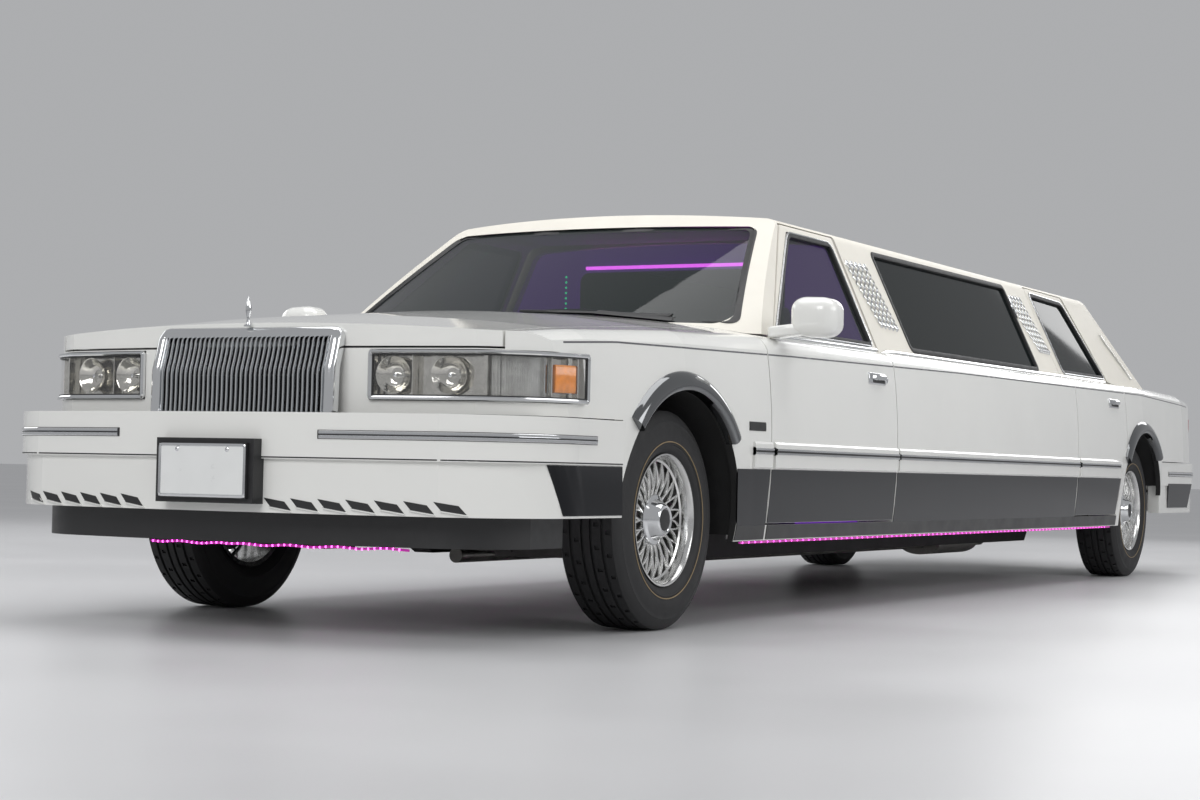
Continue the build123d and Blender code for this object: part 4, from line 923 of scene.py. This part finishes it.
# Arch flares: crowned lips of dark mirror chrome round each wheel arch, down to the side moulding.
# Pressed stainless that laps the wing and turns in under its edge.
dark_chrome = finish_of("dark_mirror_chrome", "chrome_trim", (0.20, 0.205, 0.21), 0.07, metallic=1.0,
                        mottle=0.04, mottle_scale=3, rough_spread=0.03)
flare_section = ((-0.0303, -0.020), (-0.0303, 0.014), (-0.027, 0.0195), (-0.016, 0.0235), (0.0, 0.023),
                 (0.014, 0.018), (0.025, 0.0105), (0.0305, 0.003), (0.0315, -0.003), (0.010, -0.003),
                 (-0.020, -0.004))
flare_radius, skin_radius = 0.437, 0.4095


def arch_line(axle_x, side):
    """Line round a wheel arch; t is the angle from straight ahead, height the way out from the flare's
    radius. Inside the arch's edge, where there is no skin, the ray stays there and the shift goes on in."""
    def line(t, height):
        radius = flare_radius + height
        cast = max(radius, skin_radius)
        spoke = Vector((math.cos(t), 0, math.sin(t)))
        return from_side(side, axle_x + cast * spoke.x, wheel_height + cast * spoke.z, spoke * (radius - cast))
    return line


for side_name, side in sides:
    for place, node, axle_x, start, end in (
        ("front", "front_fenders", front_axle_x, 42, 143),
        ("rear", "body_shell", rear_axle_x, 37, 139),
    ):
        laid(f"{place}_arch_flare_{side_name}", dark_chrome, flare_section,
             (math.radians(start), math.radians(end)), 60, surface_of(node), arch_line(axle_x, side), angle=50)

# Tyres: black all-season radials with a grooved, blocked tread and a thin gold line on the wall.
# Moulded rubber; one is turned and cut, and the other three are copies of it.
tyre_rubber = finish_of("tyre_rubber", "tyre_rubber", (0.016, 0.016, 0.017), 0.66, mottle=0.15,
                        mottle_scale=25, bumps=(("Noise", 500, 0.2, 0.0005),))
gold_line = finish_of("gold_sidewall_line", "tyre_rubber", (0.30, 0.22, 0.12), 0.5, mottle=0.1,
                      mottle_scale=30)
wheel_places = [
    (f"{end}_{side_name}", axle_x, side * half_track, side)
    for end, axle_x, half_track in (("front", front_axle_x, 0.7975), ("rear", rear_axle_x, 0.804))
    for side_name, side in sides
]
half_profile = ((0.084, 0.2005), (0.086, 0.206), (0.099, 0.217), (0.108, 0.231), (0.1090, 0.236),
                (0.1105, 0.237), (0.1118, 0.2390), (0.1105, 0.2415), (0.1115, 0.255), (0.1122, 0.264),
                (0.1110, 0.278), (0.1075, 0.297), (0.1050, 0.308), (0.1058, 0.310), (0.1010, 0.322),
                (0.0960, 0.334), (0.0870, 0.3435), (0.0600, 0.3452), (0.0585, 0.3380), (0.0500, 0.3380),
                (0.0485, 0.3456), (0.0200, 0.3460), (0.0188, 0.3380), (0.0112, 0.3380), (0.0100, 0.3460))
tread_radius, groove_deep = 0.3425, 0.006


def is_sipe(face):
    """Whether a face of the tread is one of the staggered cuts between the blocks."""
    centre = face.calc_center_median()
    turn_step = int((math.degrees(math.atan2(centre.z, centre.x)) + 360.5) / 4)
    stagger = 1 if centre.y > 0.05 else (2 if centre.y > 0 else (0 if centre.y > -0.05 else 1))
    on_rib = 0.0201 < abs(centre.y) < 0.095
    return math.hypot(centre.x, centre.z) > tread_radius and turn_step % 3 == stagger and on_rib


def on_wheels(master, name, material, node=None):
    """Copies a piece that was made at the wheel's middle, facing left, on to all four wheels."""
    for corner, x, y, side in wheel_places:
        piece = copy_of(master)
        piece.data.transform(Matrix.Translation((x, y, wheel_height)) @ Matrix.Diagonal((1, side, 1, 1)))
        done(piece, f"{name}_{corner}", material, f"wheel_{corner}")
        if node:
            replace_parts(piece, f"{node}_{corner}")
    bpy.data.objects.remove(master)


tyre = turned(half_profile + tuple((-along, radius) for along, radius in reversed(half_profile)), 90)
only(tyre)
edit()
pick("FACE", is_sipe)
bpy.ops.mesh.inset(thickness=0.006, use_individual=True)
bpy.ops.mesh.extrude_region_shrink_fatten(TRANSFORM_OT_shrink_fatten={"value": -groove_deep})
close_edit()
on_wheels(tyre, "road_tyre", tyre_rubber, "tyre")
wall_line = turned(((0.1112, 0.2445), (0.1127, 0.2450), (0.1127, 0.2475), (0.1112, 0.2480)), 90)
on_wheels(wall_line, "sidewall_line", gold_line)

# Wheels: machined alloy rims with laced spokes, a stepped lip and a chrome cap with a dark middle.
# Cast and turned aluminium over a cast-iron brake disc; crossed spokes run from hub to lip.
alloy = finish_of("machined_alloy", "wheel_alloy", (0.70, 0.70, 0.69), 0.2, metallic=1.0, mottle=0.05,
                  mottle_scale=40)
cast_iron = finish_of("cast_iron", "cast_grey", (0.09, 0.088, 0.085), 0.6, metallic=0.5, mottle=0.25,
                      mottle_scale=14, bumps=(("Noise", 260, 0.35, 0.0008),))
barrel = turned(((0.0985, 0.2085), (0.0985, 0.2040), (0.0930, 0.1975), (0.0820, 0.1940), (0.0640, 0.1905),
                 (-0.0400, 0.1890), (-0.0930, 0.1900), (-0.0960, 0.2060), (-0.0930, 0.2000), (-0.0400, 0.1930),
                 (0.0600, 0.1945), (0.0900, 0.2000), (0.0940, 0.2085)), 72)
hub = turned(((0.020, 0.030), (0.056, 0.030), (0.060, 0.060), (0.058, 0.074), (0.050, 0.078), (0.024, 0.076)),
             60)
ring_inside = turned(((0.046, 0.183), (0.058, 0.184), (0.062, 0.190), (0.060, 0.193), (0.044, 0.193)), 72)
spoke = strip(((-0.0035, -0.010), (-0.0040, 0.002), (-0.0022, 0.005), (0.0022, 0.005), (0.0040, 0.002),
               (0.0035, -0.010)), 0, 1, 5)
spoke_pairs, spoke_foot, spoke_long = 22, 0.074, 0.116
spokes = []
for n in range(spoke_pairs):
    for lean in (1, -1):
        def laced(t, proud, height):
            radius = spoke_foot + spoke_long * t
            angle = 2 * math.pi * n / spoke_pairs + lean * (-0.055 + 0.200 * t) + height / radius
            outward = 0.052 + proud + 0.010 * math.sin(math.pi * t) + lean * 0.0012
            return radius * math.cos(angle), outward, radius * math.sin(angle)
        spokes.append(shaped(copy_of(spoke), laced))
bpy.data.objects.remove(spoke)
on_wheels(joined([barrel, hub, ring_inside, *spokes]), "laced_rim", alloy, "rim")
for name, material, steps, profile in (
    ("brake_disc", cast_iron, 48, ((0.004, 0.070), (0.004, 0.150), (0.016, 0.150), (0.018, 0.148),
                                   (0.018, 0.085), (0.022, 0.070))),
    ("centre_cap", chrome, 48, ((0.056, 0.0), (0.056, 0.078), (0.060, 0.080), (0.064, 0.078), (0.068, 0.066),
                                (0.082, 0.058), (0.094, 0.052), (0.100, 0.044), (0.099, 0.038),
                                (0.096, 0.036), (0.096, 0.0))),
    ("cap_middle", satin_black, 36, ((0.095, 0.0), (0.095, 0.035), (0.0985, 0.033), (0.1, 0.018),
                                     (0.1005, 0.0))),
):
    on_wheels(turned(profile, steps), name, material)

# Door handles and locks: chrome flap handles in dished plates on all four doors, with key barrels
# on the front ones, and a blank dark badge on each fender. Die-cast and plated, screwed from inside.
flap_section = ((-0.010, 0.016), (-0.008, 0.024), (0.006, 0.026), (0.012, 0.022), (0.012, 0.012),
                (-0.004, 0.012))
lock_profile = ((-0.002, 0), (-0.002, 0.011), (0.003, 0.011), (0.004, 0.009), (0.003, 0.007), (0.003, 0))
for side_name, side in sides:
    for place, middle, z in (("front", front(-1648), 0.864), ("rear", front(-4955), 0.889)):
        node = f"{place}_door_{side_name}"
        plate = lay(low_bead(0.046, 0.006), (0, 1), 12, surface_of(node),
                    side_line(side, middle + 0.085, middle - 0.085, z))
        only(plate)
        modify("BEVEL", width=0.004, segments=3, limit_method="ANGLE", angle_limit=math.radians(50))
        done(plate, f"{place}_handle_plate_{side_name}", chrome, body_of[node])
        along_side(f"{place}_handle_pocket", side_name, node, satin_black, low_bead(0.030, 0.0075),
                   middle + 0.048, middle - 0.070, z - 0.003, 12)
        laid(f"{place}_handle_{side_name}", chrome, flap_section, (0, 1), 12, surface_of(node),
             side_line(side, middle + 0.062, middle - 0.076, z + 0.004), body=body_of[node],
             bend=lambda t, proud, height: (t, proud - 0.014 * (2 * t - 1) ** 4, height))
        if place == "front":
            seat, inward = touch(surface_of(node), from_side(side, middle - 0.105, z - 0.002))
            done(turned(lock_profile, 20, seat, -inward), f"{place}_lock_{side_name}", chrome, body_of[node])
    along_side("fender_badge", side_name, "front_fenders", satin_black, low_bead(0.030, 0.003), front(-462),
               front(-592), 0.655, 4)

# Mirrors: body-coloured housings on the doors with bright glass facing back.
# Moulded shells on a short foot, with a bevelled silvered plate in a black rim.
mirror_silver = finish_of("mirror_silver", "chrome_trim", (0.75, 0.77, 0.78), 0.02, metallic=1.0, mottle=0.02,
                          rough_spread=0.01)
for side_name, side in sides:
    low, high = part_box(f"mirror_{side_name}")
    centre = (low + high) / 2
    outer = max(abs(low.y), abs(high.y))
    middle_y = outer - 0.084
    body = body_of[f"mirror_{side_name}"]

    def swollen(x, y, z):
        taper = 1 - 0.16 * (0.5 - x)
        return (centre.x + x * (high.x - low.x) * 0.98, side * (middle_y + y * 0.168 * (1.10 - taper * 0.10)),
                centre.z + 0.006 + z * 0.136 * (1.12 - taper * 0.12) - y * 0.006)

    def raked(x, y, z):
        return (front(-792) + x * (0.080 + 0.02 * (0.5 - y)), side * (outer - 0.185 + y * 0.130),
                0.984 + 0.014 * (y + 0.5) + z * 0.040)
    housing = shaped(block(0.34, 8), swollen)
    done(housing, f"mirror_housing_{side_name}", white_paint, body, 60)
    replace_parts(housing, f"mirror_{side_name}")
    done(shaped(block(0.18, 4), raked), f"mirror_foot_{side_name}", white_paint, body, 60)
    for name, material, grow, back in (
        ("mirror_rim", satin_black, 0.0, 0.0),
        ("mirror_glass", mirror_silver, -0.010, 0.0012),
    ):
        plate = block(0.018, 6, True, lambda edge: reach_x(edge) > 0.001,
                      location=(low.x + 0.0022 - back, side * middle_y, centre.z + 0.004),
                      scale=(0.003, 0.124 + grow, 0.096 + grow))
        done(plate, f"{name}_{side_name}", material, body)

# Pillar ornaments: bright laced lattices on the wide pillars and a landau bar on the rear quarter.
# Cast and plated strands that cross over one another, pinned through the vinyl.
lattices = (
    ("first", ((-1870, 1.334), (-2108, 1.336), (-2197, 1.081), (-1995, 1.088))),
    ("second", ((-3919, 1.361), (-4160, 1.362), (-4290, 1.102), (-4118, 1.106))),
)
strand_section = ((-0.0045, 0.0), (-0.003, 0.004), (0.003, 0.004), (0.0045, 0.0), (0.0, -0.001))
pin_profile = ((0, 0), (0, 0.013), (0.004, 0.012), (0.008, 0.007), (0.009, 0))
columns = [0.10 + 0.20 * n for n in range(5)]
landau_top, landau_foot = Vector((front(-5393), 1.260)), Vector((front(-5641), 1.044))
for side_name, side in sides:
    for label, corners in lattices:
        top_front, top_rear, low_rear, low_front = [Vector((front(u), z)) for u, z in corners]

        def on_pillar(share, t):
            return top_front.lerp(top_rear, share).lerp(low_front.lerp(low_rear, share), t)
        strands = []
        for column in columns:
            for phase in (0, 1):
                def line(t, height):
                    turn = math.pi * (t * 10 + phase)
                    place = on_pillar(column + 0.085 * math.sin(turn) * 0.95, t)
                    shift = (0, side * (0.002 + 0.002 * math.cos(turn)), 0)
                    return from_side(side, place.x + height, place.y, shift)
                strands.append(lay(strand_section, (0, 1), 44, roof_surface, line))
        for t in (0.02, 0.98):
            for column in columns:
                seat, inward = touch(roof_surface, from_side(side, *on_pillar(column, t)), 1.2, 0.75)
                strands.append(turned(pin_profile, 14, seat, -inward))
        done(joined(strands), f"{label}_lattice_{side_name}", chrome)

    def landau_line(t, height):
        bow = 0.030 * math.sin(2 * math.pi * t)
        place = landau_top.lerp(landau_foot, t) + Vector((bow, bow * 0.6))
        return from_side(side, place.x + height, place.y + height * 0.6)
    laid(f"landau_bar_{side_name}", chrome, low_bead(0.016, 0.012), (0, 1), 30, roof_surface, landau_line)

# Cabin: padded grey leather seats, a moulded dashboard, the wheel and a violet-lit partition whose glow is
# painted light.
# Foam under sewn leather; cushions are swollen over their frames, with channels across.
grey_leather = finish_of("grey_leather", "grey_leather", (0.16, 0.16, 0.165), 0.5, mottle=0.12, mottle_scale=9,
                         bumps=(("Voronoi", 260, 0.4, 0.0008), ("Noise", 40, 0.2, 0.002)))
dash_vinyl = finish_of("dash_vinyl", "dark_trim", (0.055, 0.055, 0.06), 0.55, mottle=0.12, mottle_scale=20,
                       bumps=(("Voronoi", 500, 0.3, 0.0004),))
# The partition is no lamp: its faint violet emission is painted light from the violet tube beside it.
violet_trim_painted_glow = finish_of("violet_trim_painted_glow", "purple_trim", (0.055, 0.013, 0.15), 0.4, mottle=0.15, mottle_scale=3,
                        bumps=(("Noise", 90, 0.2, 0.001),), Emission_Color=(0.30, 0.03, 0.85, 1),
                        Emission_Strength=0.5)
dress(dash_vinyl, "dashboard", "steering_wheel")
dress(violet_trim_painted_glow, "partition")


def cushion(name, low, high, lean=0.0, channels=5, along="y", stands_for=()):
    """Padded block between two corners, crowned and sewn in channels, leaning back by lean metres."""
    low, high = Vector(low), Vector(high)
    middle, half = (low + high) / 2, (high - low) / 2
    thin = min(half)
    pad = begin("cube", size=2)
    edit()
    bpy.ops.mesh.subdivide(number_cuts=15)
    close_edit()

    def crowned(*corner):
        at = Vector(corner)
        run = getattr(at, along)
        for axis in range(3):
            others = [abs(at[k]) for k in range(3) if k != axis]
            pull = min(0.5, thin * 0.55 / half[axis])
            at[axis] *= 1 - pull * (max(others) ** 6) * 0.35 - pull * 0.35 * (others[0] * others[1]) ** 3
        if channels:
            groove = abs(math.sin(math.pi * (run + 1) / 2 * channels)) ** 0.5
            dip = 1 - 0.055 * (1 - groove)
            at = Vector([at[k] * (dip if half[k] == thin else 1) for k in range(3)])
        x, y, z = [middle[k] + at[k] * half[k] for k in range(3)]
        return x - lean * (z - low.z) / (high.z - low.z), y, z
    shaped(pad, crowned)
    modify("SUBSURF", levels=1, render_levels=1)
    done(pad, name, grey_leather, angle=60)
    if stands_for:
        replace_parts(pad, *stands_for)


seat_y = 0.41
for side_name, side in sides:
    y0, y1 = sorted((side * 0.132, side * 0.688))
    cushion(f"front_seat_base_{side_name}", (front(-1700), y0, 0.40), (front(-1162), y1, 0.585), channels=6,
            stands_for=("front_seats",) if side > 0 else ())
    cushion(f"front_seat_back_{side_name}", (front(-1720), y0 + 0.01, 0.53), (front(-1590), y1 - 0.01, 1.0),
            0.075, channels=6)
    cushion(f"front_head_rest_{side_name}", (front(-1795), side * seat_y - 0.14, 1.005),
            (front(-1695), side * seat_y + 0.14, 1.155), channels=0)
    plinth = block(0.02, 3, location=(front(-1440), side * seat_y, 0.3555), scale=(0.48, 0.44, 0.095))
    done(plinth, f"front_seat_plinth_{side_name}", satin_black)
cushion("bench_base", (rear(205), -0.620, 0.50), (rear(648), 0.620, 0.678), channels=10,
        stands_for=("rear_seats",))
cushion("bench_back", (rear(95), -0.620, 0.64), (rear(270), 0.620, 1.128), 0.06, channels=10)
cushion("bench_riser", (rear(572), -0.615, 0.31), (rear(646), 0.615, 0.51), channels=0)
cushion("sofa_base", (rear(1502), -0.660, 0.46), (front(-2302), -0.232, 0.635), channels=16, along="x")
cushion("sofa_back", (rear(1502), -0.788, 0.60), (front(-2302), -0.650, 1.038), channels=16, along="x")
cushion("sofa_skirt", (rear(1510), -0.780, 0.31), (front(-2310), -0.245, 0.475), channels=0)

# Cabin lights: a violet tube at the partition and a string of green points in the lining.
# Glass tube on clips, and small domes on a wire.
violet_tube = finish_of("violet_tube", "light_tube", (0.9, 0.35, 0.95), 0.3, mottle=0.05,
                        Emission_Color=(0.85, 0.12, 1.0, 1), Emission_Strength=7)
green_points = finish_of("green_points", "light_tube", (0.1, 0.8, 0.4), 0.3, mottle=0.05,
                         Emission_Color=(0.02, 0.9, 0.35, 1), Emission_Strength=3)
tube_long, point_count, point_spacing = 0.84, 12, 0.022
tube = turned(((0, 0), (0.002, 0.007), (tube_long - 0.002, 0.007), (tube_long, 0)), 14,
              (front(-1885), tube_long / 2, 1.335), (0, -1, 0))
done(tube, "violet_tube", violet_tube)
dots = [turned(((0, 0), (0, 0.005), (0.004, 0.0035), (0.005, 0)), 10,
               (front(-1898), -0.52, 1.06 + n * point_spacing), (1, 0, 0)) for n in range(point_count)]
done(joined(dots), "green_light_string", green_points)

# Tail: ribbed red lamps, a red reflector panel, the blank rear plate, bright bumper strips and polished corner
# panels whose dark colour is a painted reflection.
# Moulded lenses and rolled stainless, finished as cars of this type are.
red_lens = finish_of("red_lens", "red_lens", (0.42, 0.012, 0.014), 0.16, mottle=0.1, mottle_scale=30,
                     bumps=(("Wave", 34, 0.5, 0.003),), stretch=(0.1, 0.1, 1.0), Coat_Weight=0.9)
dress(red_lens, "tail_lamps")
tail_plan = plan_points([(rear(-1341), 0), (rear(-1296), 0.770), (rear(-1241), 0.864), (rear(-1162), 0.925)],
                        rear(-1110))
rear_bumper = plan_points([(rear(-1430), 0), (rear(-1385), 0.740), (rear(-1300), 0.880), (rear(-1100), 0.958)],
                          rear(-420))
for side_name, side in sides:
    for n, z in enumerate((0.735, 0.779, 0.823)):
        laid(f"tail_lamp_rib_{n}_{side_name}", chrome, low_bead(0.006, 0.003), (0.775, 0.965), 24,
             surface_of("tail_lamps"), plan_line(tail_plan, z, side))
    laid(f"lid_reflector_{side_name}", red_lens, low_bead(0.110, 0.004), (0.215, 0.735), 20,
         surface_of("trunk_lid"), plan_line(tail_plan, 0.755, side), body="trunk_lid")
bumper_trim("rear", rear_bumper, rear_bumper, 0.543, (0.05, 1.62), (0.045, 1.62), "rear_bumper_corner", 0.066,
            (1.10, 1.62), 0.425)
blank_plate("rear_number_plate", rear(-1323.5), 0.745, -1, "trunk_lid", 0.306, 0.140)

# Boot aerial: a black boomerang on a short stalk behind the rear window.
# Moulded plastic, two arms bent up from the middle.
boot_surface = surface_of("trunk_lid", "body_shell", "roof")
aerial_foot = boot_surface.ray_cast(Vector((front(-6009), 0, 1.6)), Vector((0, 0, -1)))[0]
wing_ceiling = 1.004
for side_name, side in sides:
    def bent(x, y, z):
        out = y + 0.5
        return (aerial_foot.x + x * (0.030 - 0.014 * out) - 0.055 * out, side * (0.150 * out - 0.002),
                min(wing_ceiling, aerial_foot.z + 0.020 + 0.012 * out) + z * 0.008)
    done(shaped(block(0.12, 2), bent), f"aerial_wing_{side_name}", satin_black, "trunk_lid")
stalk = turned(((-0.002, 0), (-0.002, 0.016), (0.006, 0.012), (0.022, 0.008), (0.022, 0)), 20, aerial_foot,
               (0, 0, 1))
done(stalk, "aerial_stalk", satin_black, "trunk_lid")

# Underside: floor, frame, axles and exhaust, with the air dam and the glowing rope under the sills.
# Sprayed underseal, cast iron, aluminised pipe, and a clear rope with violet points.
aluminised = finish_of("aluminised_pipe", "exhaust_steel", (0.36, 0.35, 0.33), 0.38, metallic=0.9, mottle=0.2,
                       mottle_scale=10, bumps=(("Noise", 120, 0.15, 0.0006),))
rope_glow = finish_of("violet_points", "light_tube", (0.85, 0.25, 0.75), 0.3, mottle=0.05,
                      Emission_Color=(0.90, 0.07, 0.62, 1), Emission_Strength=9)
rope_tube = finish_of("clear_rope", "light_tube", (0.30, 0.05, 0.22), 0.3, mottle=0.1, mottle_scale=40,
                      Emission_Color=(0.55, 0.02, 0.40, 1), Emission_Strength=0.6)
dress(satin_black, "air_dam")
dress(underseal, "floor", "boot_floor", "wheel_houses", "frame")
dress(cast_iron, "engine", "knuckle_left", "knuckle_right")
dress(cast_iron, "front_suspension", "rear_axle", slot="chassis_black")
dress(aluminised, "exhaust")
dam_plan = plan_points([(front(1060), 0), (front(1000), 0.640), (front(930), 0.780), (front(790), 0.858)],
                       front(640))
rope_radius, rope_inward, front_spacing = 0.0042, 0.2555, 0.0195
side_rope_y, side_rope_z, side_spacing, side_count = 0.925, 0.2667, 0.052, 86
hexagon = [(rope_radius * math.sin(math.radians(a)), rope_radius * math.cos(math.radians(a)))
           for a in range(0, 360, 60)]
point_light = turned(((-0.004, 0.0), (-0.002, 0.0045), (0.002, 0.0045), (0.004, 0.0)), 8, axis=(0, 0, 1))


def place_points(places, name):
    """Copies the small light along a rope, joined as one piece."""
    lights = [copy_of(point_light) for _ in places]
    for light, place in zip(lights, places):
        light.data.transform(Matrix.Translation(place))
    done(joined(lights), name, rope_glow)


front_places = []
for side_name, side in sides:
    line = plan_line(dam_plan, 0.262, side)
    reach = 0.585 if side > 0 else 0.312

    def hung(t, proud, height):
        start, inward, _ = line(t, height)
        return start + inward * (rope_inward - proud) + Vector((0, 0, 0.002 * math.sin(t * 40)))
    wire = done(shaped(strip(hexagon, 0.0, reach, 18), hung), f"front_rope_{side_name}", rope_tube)
    if side > 0:
        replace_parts(wire, "light_rope")
    front_places += [hung(0.010 + n * front_spacing, 0, 0) for n in range(int(reach / front_spacing))]
    wire = shaped(strip(hexagon, front(-502), rear(482), 2),
                  lambda x, proud, height: (x, side * (side_rope_y + proud), side_rope_z + height))
    done(wire, f"side_rope_{side_name}", rope_tube)
    places = [(front(-520) - n * side_spacing, side * side_rope_y, side_rope_z) for n in range(side_count)]
    place_points(places, f"side_points_{side_name}")
place_points(front_places, "front_points")
bpy.data.objects.remove(point_light)
